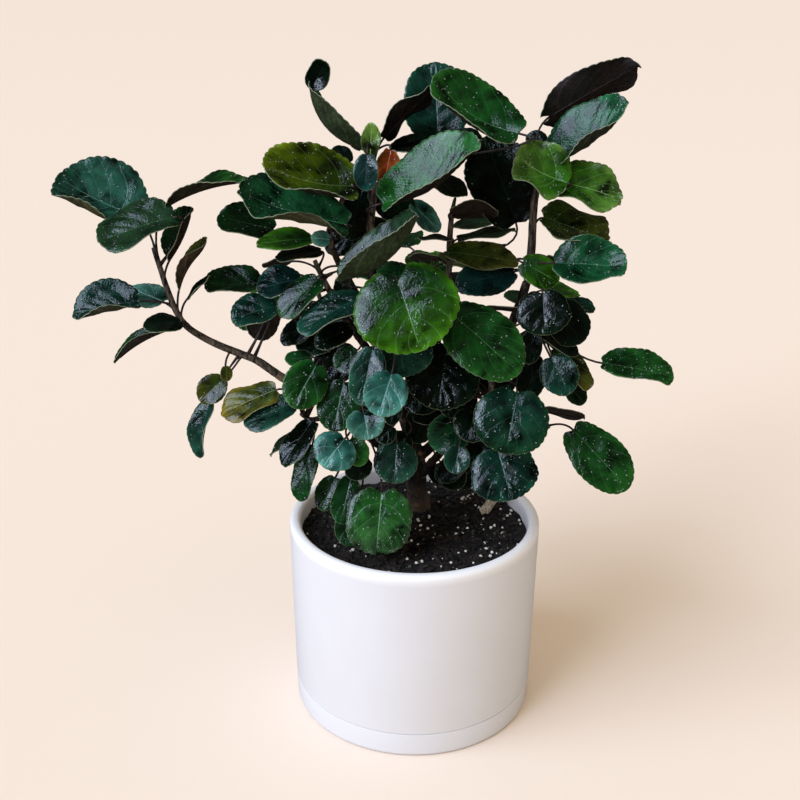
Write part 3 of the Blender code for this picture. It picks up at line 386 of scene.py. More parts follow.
# Leaves: base x, base z, tip x, tip z, width, depth of base, depth of tip, lean of the upper face to the
# right and upwards from facing the eye (degrees), fold of each half (degrees), bow of the midrib, change of
# lean by the tip (share), reach of the lobes past the stalk (share), tone, and how wet the leaf is.
leafRows = {
    "left": [
        (-187, 362, -232.5, 386, 63, -6, -2, 0, 42, 12, -3, 0, .16, "dawn", 1),
        (-160, 369, -110, 383, 42, -18, -26, 0, 74, 12, 3, 0, .08, "green", .1),
        (-160, 360, -210, 342, 44, -33, -46, 0, 48, 10, 2, 0, .08, "grey", .4),
        (-163, 333, -147, 366, 32, -14, -16, -58, 30, 38, -2, 0, .05, "brown", .1),
        (-159, 312, -133, 344, 36, -12, -8, -48, 62, 10, 4, 0, .05, "olive", .1),
        (-188, 303, -232.5, 293, 42, -20, -26, 0, 50, 14, 1, 0, .08, "teal", 1),
        (-171, 303, -192, 312, 22, -4, 10, 0, 35, 6, 0, 0, .08, "mint", .1),
        (-174, 281, -207, 259, 26, -12, -16, -36, 68, 26, 2, 0, .06, "deep", .2),
        (-160, 289, -185, 284, 22, -26, -38, 0, 55, 5, 1, 0, .08, "dark", 0),
        (-154, 305, -138, 321, 9, -16, -18, 0, 60, 30, 0, 0, .05, "dark", 0),
        (-106, 316, -142, 314, 36, -2, 0, 0, 50, 12, 0, 0, .08, "deep", .2),
        (-98, 297, -110, 277, 24, -2, -6, 20, 125, 5, 1, 0, .08, "brown", .1),
        (-131, 257, -131, 246, 9, -22, -24, 20, 10, 20, 0, 0, .05, "olive", 0),
        (-133, 248, -150, 231, 20, -18, -24, 0, 20, 12, 1, 0, .06, "olive", .1),
        (-143, 230, -153, 188, 24, -20, -26, -48, 10, 26, 2, 0, .06, "steel", .4),
    ],
    "left_low": [
        (-97, 240, -136, 221, 30, -36, -44, 0, 42, 6, 1, 0, .06, "turned", .3),
        (-86, 230, -120, 213, 28, -44, -54, 0, 40, 6, 1, 0, .06, "steel", .4),
        (-69, 258, -86, 227, 28, -50, -64, 0, 5, 5, 1, 0, .10, "green", .6),
        (-72, 264, -90, 262, 14, -42, -46, 0, 40, 10, 0, 0, .06, "deep", .2),
        (-74, 214, -103, 190, 20, -22, -30, -40, 60, 10, 1, 0, .06, "grey", .2),
        (-72, 216, -94, 182, 22, -40, -54, -30, 25, 8, 1, 0, .06, "dark", .3),
        (-73, 198, -83, 154, 19, -32, -44, -25, 10, 10, 2, 0, .06, "deep", .3),
    ],
    "left_mid": [
        (-64, 338, -94, 333, 20, -16, -22, 0, 60, 10, 1, 0, .06, "dark", .1),
        (-84, 331, -103, 328, 14, -4, -6, 0, 112, 8, 0, 0, .05, "brown", 0),
        (-78, 319, -107, 311, 29, -14, -20, 0, 45, 10, 1, 0, .06, "blue", .4),
        (-95, 300, -125, 290, 31, -26, -34, 0, 45, 15, 1, 0, .06, "teal", .5),
        (-66, 319, -92, 293, 25, -32, -42, -20, 30, 10, 1, 0, .06, "deep", .5),
        (-52, 328, -44, 327, 15, -30, -34, 0, 20, 4, 0, 0, .10, "grey", .1),
        (-50, 321, -50, 307, 12, -26, -28, 0, 20, 14, 0, 0, .06, "dark", 0),
        (-37, 307, -80, 282, 30, -42, -56, -20, 42, 12, 1, 0, .06, "teal", .5),
        (-45, 285, -69, 272, 20, -38, -44, 0, 40, 6, 1, 0, .08, "dark", .2),
        (-70, 291, -92, 274, 18, -6, -12, 0, 30, 8, 0, 0, .06, "dark", 0),
        (-53, 282, -82, 271, 24, -4, -8, 0, 25, 8, 0, 0, .06, "dark", 0),
        (-42, 268, -70, 250, 28, -10, -16, 0, 15, 8, 0, 0, .06, "dark", .1),
        (-40, 300, -62, 288, 22, 17, 13, 0, 35, 8, 0, 0, .06, "deep", .1),
    ],
    "left_top": [
        (-43, 381, -100, 396, 54, -24, -38, 0, 44, 12, -6, 0, .10, "lime", 1),
        (-38, 383, -85, 371, 26, -6, -3, 0, 104, 6, 1, 0, .04, "brown", 0),
        (-47, 356, -118, 376, 52, -27, -34, 0, 56, 12, -2, -.4, .06, "dale", 1),
        (-95, 352, -131, 360, 32, 0, -4, 0, 40, 8, 1, 0, .08, "deep", .5),
        (-70, 346, -106, 342, 24, -26, -32, 0, 54, 6, 1, 0, .06, "bright", .2),
        (-58, 346, -70, 347, 11, -32, -36, 20, 10, 10, 0, 0, .06, "mint", .1),
        (-44, 396, -55, 405, 14, 2, 4, 0, 30, 10, 0, 0, .06, "dark", 0),
    ],
    "top": [
        (63, 415, 9, 450, 48, -16, -8, 0, 48, 14, -10, 0, .05, "green", .8),
        (12, 412, 9, 458, 46, 18, 36, 0, 4, 4, 0, 0, .10, "teal", .2),
        (-22, 412, 9, 442, 30, 2, -4, -78, 84, 6, 1, 0, .05, "purple", .1),
        (-37, 405, -69, 446, 38, 0, 6, 66, 92, 20, -9, -.3, .04, "grey", .1),
        (-31, 401, -30, 421, 13, -8, -6, 0, 20, 24, 0, 0, .05, "young", 0),
        (-18, 404, -23, 381, 17, -14, -16, 15, 10, 22, 1, 0, .06, "withered", 0),
        (-33, 401, -34, 378, 16, -33, -36, -10, 10, 12, 1, 0, .06, "blue", .1),
        (-23, 370, 38, 411, 58, -36, -42, -26, 48, 20, -8, 0, .04, "fresh", 1),
        (-18, 404, 40, 413, 34, 2, -2, 0, 66, 10, 0, 0, .05, "dark", 0),
        (-34, 358, -18, 344, 20, 18, 14, 0, 40, 8, 1, 0, .08, "dark", 0),
        (-4, 370, 14, 352, 20, 10, 8, 20, 40, 8, 0, 0, .06, "mint", 0),
        (-36, 379, -46, 346, 26, 14, 12, 0, 20, 8, 1, 0, .06, "dark", 0),
        (-30, 378, -2, 360, 26, 10, 6, 0, 30, 8, 1, 0, .06, "dark", 0),
        (-34, 356, -60, 338, 24, 18, 14, 0, 25, 8, 1, 0, .06, "dark", 0),
        (2, 388, 32, 376, 22, 14, 10, 0, 55, 8, 1, 0, .06, "dark", 0),
        (-68, 441, -58, 459, 17, 5, 0, 0, 12, 20, -3, 0, 0, "dark", 0),
    ],
    "centre": [
        (64, 358, 42, 413, 48, 20, 38, 0, 8, 8, 1, 0, .06, "dark", .2),
        (22, 364, 52, 365, 26, 16, 10, 0, 118, 6, 1, 0, .06, "brown", 0),
        (24, 355, 57, 361, 24, 36, 42, 0, 72, 8, 0, 0, .06, "grey", 0),
        (27, 347, 64, 353, 24, 30, 34, 0, 75, 8, 0, 0, .06, "grey", 0),
        (20, 338, 67, 331, 24, 14, 6, 0, 46, 8, 1, 0, .06, "olive", .1),
        (64, 325, 26, 314, 30, 8, 0, 0, 35, 8, 1, 0, .06, "blue", .1),
        (22, 347, 0, 347, 18, 22, 20, 0, 78, 8, 0, 0, .06, "dark", 0),
        (14, 333, -6, 335, 18, 24, 22, 0, 105, 8, 0, 0, .06, "brown", 0),
        (26, 336, 58, 343, 18, 30, 34, 0, 66, 8, 0, 0, .06, "dark", 0),
    ],
    "right": [
        (96, 384, 61, 402, 44, -8, -4, 0, 36, 8, -4, 0, .04, "ruffled", .8),
        (86, 385, 132, 373, 42, 2, -2, 0, 42, 10, 2, 0, .03, "ruffled", .8),
        (86, 399, 130, 436, 56, 14, 13, -36, 42, 18, -6, 0, .06, "jade", 1),
        (83, 426, 136, 456.5, 36, 34, 36, -85, 110, 10, 1, 0, .14, "purple", .1),
        (81, 409, 68, 413, 14, 24, 28, 0, 30, 8, 0, 0, .06, "dark", 0),
        (82, 361, 125, 345, 50, 8, 2, 0, 50, 16, 1, 0, .10, "olive", .6),
        (91, 331, 139, 328, 42, -24, -32, 0, 38, 8, 1, 0, .06, "jade", .7),
        (86, 335, 110, 325, 16, -8, -12, 0, 110, 6, 0, 0, .06, "brown", 0),
        (70, 331, 94, 318, 22, -14, -18, 0, 15, 6, 1, 0, .10, "bright", .5),
    ],
    "right_mid": [
        (84, 310, 87, 281, 36, -34, -46, 0, 5, 5, 1, 0, .12, "dark", .4),
        (91, 302, 113, 276, 32, -12, -22, 25, 12, 6, 1, 0, .06, "dark", .2),
        (70, 299, 42, 299, 18, -12, -14, 0, 102, 6, 0, 0, .05, "brown", 0),
        (79, 284, 77, 260, 15, -22, -30, 0, 20, 8, 0, 0, .06, "dark", 0),
        (85, 283, 111, 267, 18, -18, -24, 0, 55, 8, 0, 0, .06, "dark", 0),
        (92, 265, 106, 238, 25, -34, -46, 0, 8, 5, 1, 0, .06, "teal", .5),
        (94, 271, 121, 243, 23, -22, -32, 28, 20, 8, 1, 0, .06, "olive", .3),
        (106, 245, 117, 231, 15, -20, -24, 10, 20, 8, 0, 0, .06, "purple", 0),
        (128, 261, 177.5, 251, 34, -22, -30, 0, 46, 6, 1, 0, .06, "green", 1),
        (80, 266, 78, 234, 22, -4, -10, 0, 10, 8, 1, 0, .06, "dark", 0),
    ],
    "right_low": [
        (111, 211, 154, 165, 36, -24, -44, 4, 4, 5, 1, 0, .08, "green", .6),
        (88, 226, 118, 220, 24, -8, -6, 0, 104, 8, 0, 0, .06, "brown", 0),
    ],
    "front": [
        (-13, 318, 3, 269, 66, -62, -82, 0, 0, 4, 1, 0, .24, "bright", .6),
        (-48, 319, 0, 362, 50, -54, -60, -46, 60, 36, -8, 0, .06, "grey", .5),
        (-17, 252, -26, 221, 28, -70, -84, 0, 4, 6, 1, 0, .08, "sheen", .8),
        (-30, 270, -38, 229, 24, -60, -74, -10, 0, 10, 1, 0, .06, "steel", .6),
        (-40, 267, -56, 257, 18, -48, -52, 0, 20, 6, 0, 0, .08, "deep", .3),
        (-12, 278, -8, 250, 41, -50, -56, 0, 6, 4, 1, 0, .08, "teal", .2),
    ],
    "front_right": [
        (22, 297, 71, 253, 45, -46, -66, 12, 14, 6, 1, 0, .06, "green", .5),
        (70, 239, 64, 192, 50, -54, -74, 3, 0, 4, 1, 0, .10, "dusk", .6),
        (58, 196, 70, 156, 48, -38, -56, 0, 6, 5, 1, 0, .08, "teal", .4),
        (21, 273, 15, 226, 50, -31, -51, 0, 4, 5, 1, 0, .08, "dark", .5),
        (35, 214, 10, 200, 29, -22, -28, 0, 10, 10, 1, 0, .06, "jade", .8),
        (44, 224, 34, 203, 26, -31, -42, 0, 8, 6, 1, 0, .08, "dark", .2),
        (31, 198, 28, 177, 18, -36, -44, 0, 8, 10, 0, 0, .06, "teal", .2),
        (24, 224, -2, 219, 18, -7, -9, 0, 40, 8, 0, 0, .04, "dark", 0),
        (36, 188, 15, 172, 18, 8, 4, 0, 14, 8, 0, 0, .06, "dark", 0),
        (18, 186, 34, 166, 22, 12, 6, 0, 14, 8, 0, 0, .06, "dark", 0),
        (6, 230, 1, 200, 22, -4, -8, 0, 8, 8, 0, 0, .06, "dark", 0),
        (52, 206, 36, 184, 26, -8, -16, 0, 8, 8, 0, 0, .06, "dark", .1),
        (14, 246, -8, 228, 30, -8, -16, 0, 10, 8, 0, 0, .06, "dark", .1),
        (36, 246, 20, 222, 28, -16, -24, 0, 6, 8, 0, 0, .06, "dark", 0),
        (62, 262, 48, 236, 28, -10, -20, 0, 8, 8, 0, 0, .06, "dark", 0),
        (10, 181, 27, 170, 16, 34, 32, 0, 16, 8, 0, 0, .06, "dark", 0),
        (42, 184, 31, 166, 20, 26, 22, 0, 12, 8, 0, 0, .06, "dark", 0),
    ],
    "front_left": [
        (-50, 246, -58, 209, 28, -50, -64, -6, 2, 5, 1, 0, .06, "deep", .8),
        (-50, 203, -66, 182, 30, -56, -66, -5, 4, 5, 1, 0, .10, "sheen", .8),
        (-57, 173, -68, 147, 18, -32, -40, -8, 8, 10, 1, 0, .06, "deep", .3),
        (-46, 173, -54, 136, 20, -36, -48, 0, 6, 8, 1, 0, .06, "deep", .3),
        (-24, 161, -28, 110, 48, -44, -60, 0, 6, 4, 1, 0, .12, "veined", 1),
        (-41, 151, -50, 118, 24, -34, -46, 0, 8, 6, 1, 0, .06, "deep", .3),
        (-13, 201, -15, 169, 30, -40, -52, 0, 0, 8, 1, 0, .06, "steel", .6),
        (-36, 222, -33, 203, 26, -68, -76, 0, 4, 8, 1, 0, .26, "mint", .3),
        (-47, 202, -37, 183, 18, -52, -58, 12, 6, 20, 1, 0, .06, "green", .4),
        (-44, 190, -37, 172, 20, -40, -46, 0, 10, 6, 0, 0, .06, "dark", .1),
        (-14, 232, -18, 214, 12, -44, -50, 0, 6, 8, 0, 0, .06, "dark", 0),
        (-16, 213, -27, 202, 15, -50, -54, 0, 10, 8, 0, 0, .06, "dark", 0),
        (-20, 236, -42, 222, 24, -22, -30, 0, 10, 8, 0, 0, .06, "dark", 0),
        (-6, 206, -24, 186, 22, -14, -22, 0, 10, 8, 0, 0, .06, "dark", 0),
    ],
}
# Leaves of the shoots at the back, which the photograph hides, are drawn by rule.
backSet = {
    "seed": 50, "shoots": {"back": (7, 30, 150), "back_left": (6, 95, 215), "back_right": (5, -30, 85)},
    "length": (35.0, 53.0), "width": (0.75, 0.95), "stalk": (16.0, 26.0), "lift": (2.0, 12.0),
    "hang": (-0.45, 0.2), "out": 0.85, "fold": (4.0, 16.0), "sway": 8.0, "lean": 60.0, "bow": 1.0,
    "golden": 0.618, "lobe": 0.08,
    "tones": ("green", "deep", "teal", "deep", "bright", "olive", "deep"), "wet": 0.3,
}


def seenPoint(x, z, depth):
    # the point at this depth that the eye sees at (x, z) on the plane y = 0
    reach = (depth - eye.y) / (0.0 - eye.y)
    return eye + (Vector((x, 0.0, z)) - eye) * reach


def seenPath(rows):
    return [(seenPoint(x, z, depth), radius) for x, z, depth, radius in rows]


def smoothPath(points, spans):
    # a soft curve through (place, radius) points
    fine = []
    last = len(points) - 1
    for index in range(last):
        before = points[max(index - 1, 0)]
        first, second = points[index], points[index + 1]
        after = points[min(index + 2, last)]
        for step in range(spans):
            t = step / spans
            weights = (-0.5 * t + t * t - 0.5 * t ** 3, 1.0 - 2.5 * t * t + 1.5 * t ** 3,
                       0.5 * t + 2.0 * t * t - 1.5 * t ** 3, -0.5 * t * t + 0.5 * t ** 3)
            spot = Vector((0.0, 0.0, 0.0))
            for weight, (place, _) in zip(weights, (before, first, second, after)):
                spot += place * weight
            fine.append((spot, first[1] + (second[1] - first[1]) * t))
    fine.append(points[-1])
    return fine


def tubes(name, paths, sides):
    # round tubes through (place, radius) points, all in one mesh
    curve = bpy.data.curves.new(name, "CURVE")
    curve.dimensions = "3D"
    curve.bevel_depth = mm
    curve.bevel_resolution = sides
    curve.use_fill_caps = True
    for path in paths:
        spline = curve.splines.new("POLY")
        spline.points.add(len(path) - 1)
        for point, (place, radius) in zip(spline.points, path):
            point.co = (*(place * mm), 1.0)
            point.radius = radius
    activate(newObject(name, curve))
    bpy.ops.object.convert(target="MESH")
    piece = bpy.context.object
    piece.name = name
    piece.data.name = name
    closeMesh(piece, meshSet["tubeGap"])
    return piece


# Soil: dark peat mix with bark fibre and perlite
print("soil")
soilSet = {
    "drop": 12.0, "level": 0.6, "dome": 2.5, "edge": 0.3, "bottom": 10.6, "rings": 54, "steps": 168,
    "skin": 1.0, "lump": 1.5, "lumpSizes": (11.0, 4.5), "narrowShare": 0.5, "grain": 0.7, "grainSize": 1.7,
    "layer": 3.0, "margin": 2.5, "trunk": (4.0, 30.0), "clear": 9.5, "gather": (0.5, 0.35, 0.15),
    "lie": (1.25, 1.75), "tumble": (0.0, 3.0),
}
soilTop = potSet["height"] - soilSet["drop"]
soilEdge = potInside(potSet, soilTop)
crumbSet = {"rough": (0.75, 1.1)}
sliverSet = {"seed": 4, "sides": 5, "width": (0.7, 1.2), "depth": (0.4, 0.7), "split": 0.25}


def soilHeight(s, x, y):
    # the surface at (x, y) in millimetres: a low dome, lumps of a centimetre and a crumbly grain
    share = min(math.hypot(x, y) / soilEdge, 1.0)
    spot = Vector((x, y, s["layer"]))
    wide, narrow = s["lumpSizes"]
    lump = noise.noise(spot / wide) + s["narrowShare"] * noise.noise(spot / narrow)
    grain = noise.noise(spot / s["grainSize"])
    dome = s["dome"] * (1.0 - share * share)
    return soilTop - s["level"] + dome + s["lump"] * lump + s["grain"] * grain


def makeSoil(s):
    edge = soilEdge - s["edge"]
    low = potInside(potSet, s["bottom"]) - s["edge"]
    profile = [(edge * ring / s["rings"], soilTop) for ring in range(s["rings"] + 1)]
    profile += [(low, s["bottom"]), (0.0, s["bottom"])]
    piece = spinProfile("soil_peat", profile, s["steps"])
    points = meshPoints(piece.data)
    for point in points:
        if point[2] > (soilTop - s["skin"]) * mm:
            point[2] = soilHeight(s, point[0] / mm, point[1] / mm) * mm
    setPoints(piece.data, points)
    piece.data.shade_smooth()
    return piece


def lumpyPattern(name, seed, height, s=crumbSet):
    # a rough crumb 2 units across
    draw = random.Random(seed)
    deselectAll()
    bpy.ops.mesh.primitive_ico_sphere_add(subdivisions=1, radius=1.0)
    pattern = takePattern(name)
    for vert in pattern.vertices:
        vert.co *= draw.uniform(*s["rough"])
        vert.co.z *= height
    return pattern


def sliverPattern(s):
    # a sliver of bark 2 units long, split at its ends
    draw = random.Random(s["seed"])
    deselectAll()
    bpy.ops.mesh.primitive_cylinder_add(vertices=s["sides"], radius=1.0, depth=2.0)
    pattern = takePattern("barkSliver")
    for vert in pattern.vertices:
        vert.co.x *= draw.uniform(*s["width"])
        vert.co.y *= draw.uniform(*s["depth"])
        vert.co.z += draw.uniform(-s["split"], s["split"])
    return pattern


def soilSpot(s, draw, bias):
    # a free place on the soil; bias 0 spreads evenly, 1 gathers towards the front right
    edge = soilEdge - s["margin"]
    trunkX, trunkY = s["trunk"]
    even, right, front = s["gather"]
    while True:
        x, y = draw.uniform(-edge, edge), draw.uniform(-edge, edge)
        if math.hypot(x, y) > edge or math.hypot(x - trunkX, y - trunkY) < s["clear"]:
            continue
        if draw.random() < bias * (even - right * x / edge + front * y / edge):
            continue
        return x, y


def scatterOnSoil(s, name, bit):
    # bits of one kind, each turned its own way; slivers have a length and lie down
    draw = random.Random(bit["seed"])
    length = bit.get("length")
    places = []
    for _ in range(bit["count"]):
        x, y = soilSpot(s, draw, bit["bias"])
        width = draw.uniform(*bit["size"])
        stretch = draw.uniform(*length) / 2.0 if length else width
        z = soilHeight(s, x, y) + width * bit["sink"]
        turn = Matrix.Rotation(draw.uniform(0.0, math.tau), 4, "Z")
        tip = Matrix.Rotation(draw.uniform(*s["lie" if length else "tumble"]), 4, "X")
        scale = Matrix.Diagonal((width * mm, width * mm, stretch * mm, 1.0))
        places.append(Matrix.Translation((x * mm, y * mm, z * mm)) @ turn @ tip @ scale)
    return scatterCopies(name, bit["pattern"], places)


def grainedMaterial(name, grain):
    # colour and bump that follow one noise, drawn out along z where the grain runs that way
    made, tree, shader, coords = newMaterial(name)
    turned = addNode(tree, "ShaderNodeMapping", {
        "Vector": coords, "Rotation": (0.0, math.radians(grain.get("turn", 0.0)), 0.0),
        "Scale": (1.0, 1.0, grain.get("stretch", 1.0))})
    noisy = addNode(tree, "ShaderNodeTexNoise", {
        "Vector": turned, "Scale": grain["scale"], "Detail": grain["detail"], "Roughness": grain["rough"]})
    ramp = addNode(tree, "ShaderNodeValToRGB", {"Fac": noisy})
    stops = ramp.color_ramp.elements
    stops[0].position, stops[1].position = grain["stops"][0][0], grain["stops"][-1][0]
    for position, _ in grain["stops"][1:-1]:
        stops.new(position)
    for stop, (_, colour) in zip(stops, grain["stops"]):
        stop.color = linearColour(colour)
    bump = addNode(tree, "ShaderNodeBump", {
        "Height": noisy, "Strength": grain["bump"][0], "Distance": grain["bump"][1] * mm})
    setInputs(tree, shader, {"Base Color": ramp, "Roughness": grain["satin"], "Normal": bump})
    return made, tree, shader, coords, ramp


def peatMix():
    # damp peat: almost black brown, matt, with grains from 0.4 mm up and paler dry fibres
    made, tree, shader, coords, clods = grainedMaterial("dampPeatMix", {
        "scale": 220.0, "detail": 6.0, "rough": 0.7, "satin": 0.78, "bump": (0.9, 1.4),
        "stops": ((0.36, "#0B0807"), (0.55, "#1C1410"), (0.74, "#3A2C22"))})
    grit = addNode(tree, "ShaderNodeTexVoronoi", {"Vector": coords, "Scale": 900.0})
    speck = addNode(tree, "ShaderNodeMapRange", {
        "Value": grit, "From Min": 0.12, "From Max": 0.05, "To Max": 0.35})
    mixed = addNode(tree, "ShaderNodeMix", {"Factor": speck, 6: clods, 7: "#7A6A58"}, data_type="RGBA")
    setInputs(tree, shader, {"Base Color": mixed})
    return made


def mottledMaterial(name, dark, pale, scale, detail=2.0, spread=(0.0, 1.0)):
    # two tones that follow one noise, and change over this much of it
    made, tree, shader, coords = newMaterial(name)
    cloud = addNode(tree, "ShaderNodeTexNoise", {"Vector": coords, "Scale": scale, "Detail": detail})
    share = addNode(tree, "ShaderNodeMapRange", {
        "Value": cloud, "From Min": spread[0], "From Max": spread[1]})
    mixed = addNode(tree, "ShaderNodeMix", {"Factor": share, 6: dark, 7: pale}, data_type="RGBA")
    setInputs(tree, shader, {"Base Color": mixed})
    return made, tree, shader, coords


def looseGrains(name, dark, pale, scale, rough):
    # a crumb's own material: its tone changes from piece to piece, and it has a fine bump
    made, tree, shader, coords = mottledMaterial(name, dark, pale, scale, 3.0, (0.38, 0.62))
    fine = addNode(tree, "ShaderNodeTexNoise", {"Vector": coords, "Scale": 2600.0, "Detail": 2.0})
    bump = addNode(tree, "ShaderNodeBump", {"Height": fine, "Strength": 0.4, "Distance": 0.0003})
    setInputs(tree, shader, {"Roughness": rough, "Normal": bump})
    return made


soil = makeSoil(soilSet)
soil.data.materials.append(peatMix())
handOver(soil, "soil")

# what lies loose on the peat: sizes and lengths in millimetres
looseBits = {
    "soil_bark_slivers": {
        "pattern": sliverPattern(sliverSet), "count": 620, "size": (0.7, 2.2), "length": (2.0, 8.0),
        "seed": 21, "bias": 0.0, "sink": 0.3, "finish": ("compostedBark", "#0A0706", "#2C2019", 160.0, 0.7)},
    "soil_crumbs": {
        "pattern": lumpyPattern("peatCrumb", 2, 0.8), "count": 900, "size": (0.5, 1.7), "seed": 22,
        "bias": 0.0, "sink": 0.3, "finish": ("peatCrumbs", "#0D0908", "#2E231C", 140.0, 0.85)},
    "soil_perlite": {
        "pattern": lumpyPattern("perliteGrain", 3, 0.9), "count": 160, "size": (0.35, 1.6), "seed": 23,
        "bias": 0.9, "sink": 0.5, "finish": ("expandedPerlite", "#C9C4BA", "#F2EFE8", 300.0, 0.9)},
    "soil_moss": {
        "pattern": lumpyPattern("mossTuft", 5, 0.6), "count": 90, "size": (0.5, 1.7), "seed": 24,
        "bias": 0.9, "sink": 0.3, "finish": ("greenAlgaeCrumbs", "#2A3020", "#56604A", 300.0, 0.95)},
}
for name, bit in looseBits.items():
    piece = scatterOnSoil(soilSet, name, bit)
    piece.data.materials.append(looseGrains(*bit["finish"]))
    handOver(piece)


# Trunk and canes: one woody body
print("trunk and canes")
trunkSet = {
    "voxel": 0.9, "sides": 4, "spans": 5, "grain": 0.22, "fibre": 0.55, "fibreSizes": (1.5, 0.8),
    "fineFibre": 0.6, "knob": 0.9, "knobSize": 7.0, "scar": 0.25, "scarSize": 2.6, "scarGrain": 0.1,
    "thinFrom": 215.0, "thinOver": 60.0, "thinnest": 0.35,
    # roots: height above the soil line, depth of the end, shares of reach and radius at the bend and the end,
    # and for each root its bearing (degrees), radius and reach
    "rise": 7.0, "dive": 9.0, "bend": (0.45, 0.9), "end": (0.8, 0.55),
    "roots": [(150, 9.0, 19.0), (215, 7.0, 17.0), (285, 6.5, 20.0), (350, 6.0, 18.0), (60, 6.5, 17.0)],
}
stubSet = {"foot": Vector((44.0, 21.0, 123.0)), "head": Vector((62.0, 27.0, 147.0)), "radius": 3.6,
           "middle": 1.03, "top": 0.85, "voxel": 0.55, "sides": 5, "grain": 0.85, "ridge": 0.42,
           "ridgeSize": 1.1, "ragged": 0.8, "raggedSize": 1.3, "endFacing": 0.6}


def remesh(piece, size):
    piece.data.remesh_voxel_size = size * mm
    activate(piece)
    bpy.ops.object.voxel_remesh()


def roughen(piece, push):
    # moves each vertex along its normal by push(place, normal) millimetres
    mesh = piece.data
    points = meshPoints(mesh)
    for vert, point in zip(mesh.vertices, points):
        point += np.array(vert.normal) * push(vert.co / mm, vert.normal) * mm
    setPoints(mesh, points)
    mesh.shade_smooth()


def trunkRoots(s):
    # short root shoulders that spread from the trunk's foot into the soil
    middle, _ = seenPath(trunkRows)[1]
    up, down = Vector((0.0, 0.0, s["rise"])), Vector((0.0, 0.0, s["dive"]))
    (bend, bendWide), (end, endWide) = s["bend"], s["end"]
    paths = []
    for bearing, radius, reach in s["roots"]:
        out = Vector((math.cos(math.radians(bearing)), math.sin(math.radians(bearing)), 0.0))
        paths.append([(middle + up, radius), (middle + out * reach * bend, radius * bendWide),
                      (middle + out * reach * end - down, radius * endWide)])
    return paths


def barkPush(place, normal):
    # long fibres that run up the wood, knobs of a centimetre, and old leaf scars
    s = trunkSet
    along = Vector((place.x, place.y, place.z * s["grain"]))
    coarse, fine = s["fibreSizes"]
    fibre = noise.noise(along / coarse) + s["fineFibre"] * noise.noise(along / fine)
    knob = noise.noise(place / s["knobSize"])
    thick = max(s["thinnest"], min(1.0, (s["thinFrom"] - place.z) / s["thinOver"]))
    scar = noise.noise(Vector((place.x * s["scarGrain"], place.y * s["scarGrain"], place.z)) / s["scarSize"])
    return s["fibre"] * fibre * thick + s["knob"] * knob * thick + s["scar"] * scar


def makeTrunk(s):
    paths = [seenPath(rows) for rows in (trunkRows, *caneRows.values())] + trunkRoots(s)
    piece = tubes("trunk_wood", [smoothPath(path, s["spans"]) for path in paths], s["sides"])
    remesh(piece, s["voxel"])
    roughen(piece, barkPush)
    return piece


def stubPush(place, normal):
    # a dry split stick: ridges run along it, and the cut end is ragged
    s = stubSet
    axis = (s["head"] - s["foot"]).normalized()
    along = (place - s["foot"]).dot(axis)
    ridge = noise.noise((place - axis * along * s["grain"]) / s["ridgeSize"])
    atEnd = normal.dot(axis) > s["endFacing"]
    return s["ridge"] * ridge + (s["ragged"] * noise.noise(place / s["raggedSize"]) if atEnd else 0.0)


def makeStub(s):
    middle = s["foot"].lerp(s["head"], 0.5)
    path = [(s["foot"], s["radius"]), (middle, s["radius"] * s["middle"]),
            (s["head"], s["radius"] * s["top"])]
    piece = tubes("stub_wood", [path], s["sides"])
    remesh(piece, s["voxel"])
    roughen(piece, stubPush)
    return piece


def fissuredBark():
    # old aralia bark: grey brown corky fibres, pale tan where it has flaked, dark in the cracks
    made, tree, shader, coords, fibres = grainedMaterial("corkyAraliaBark", {
        "stretch": 0.2, "scale": 700.0, "detail": 5.0, "rough": 0.65, "satin": 0.82, "bump": (0.8, 0.9),
        "stops": ((0.36, "#080605"), (0.5, "#1C140F"), (0.68, "#3E3026"))})
    flake = addNode(tree, "ShaderNodeTexNoise", {"Vector": coords, "Scale": 120.0, "Detail": 3.0})
    worn = addNode(tree, "ShaderNodeMapRange", {
        "Value": flake, "From Min": 0.58, "From Max": 0.68, "To Max": 0.75})
    mixed = addNode(tree, "ShaderNodeMix", {"Factor": worn, 6: fibres, 7: "#7A6248"}, data_type="RGBA")
    # the cork has come off the low cane on the left, and partly off the trunk's foot
    place = addNode(tree, "ShaderNodeSeparateXYZ", {0: coords}).outputs
    cane = addNode(tree, "ShaderNodeMapRange", {
        "Value": place["X"], "From Min": -0.05, "From Max": -0.08, "To Max": 0.6})
    foot = addNode(tree, "ShaderNodeMapRange", {
        "Value": place["Z"], "From Min": 0.16, "From Max": 0.13, "To Max": 0.45})
    bare = addNode(tree, "ShaderNodeMath", {0: cane, 1: foot}, operation="MAXIMUM")
    colour = addNode(tree, "ShaderNodeMix", {"Factor": bare, 6: mixed, 7: "#86705A"}, data_type="RGBA")
    setInputs(tree, shader, {"Base Color": colour})
    return made


def dryWood():
    # a dead stick bleached by sun and water: pale grey tan, split along the grain
    return grainedMaterial("bleachedDeadwood", {
        "turn": -30.0, "stretch": 0.12, "scale": 900.0, "detail": 4.0, "rough": 0.6, "satin": 0.85,
        "bump": (0.7, 0.6), "stops": ((0.34, "#74644F"), (0.62, "#D8CCB6"))})[0]


trunk = makeTrunk(trunkSet)
trunk.data.materials.append(fissuredBark())
handOver(trunk, "trunk")
stub = makeStub(stubSet)
stub.data.materials.append(dryWood())
handOver(stub, "cut_stub")


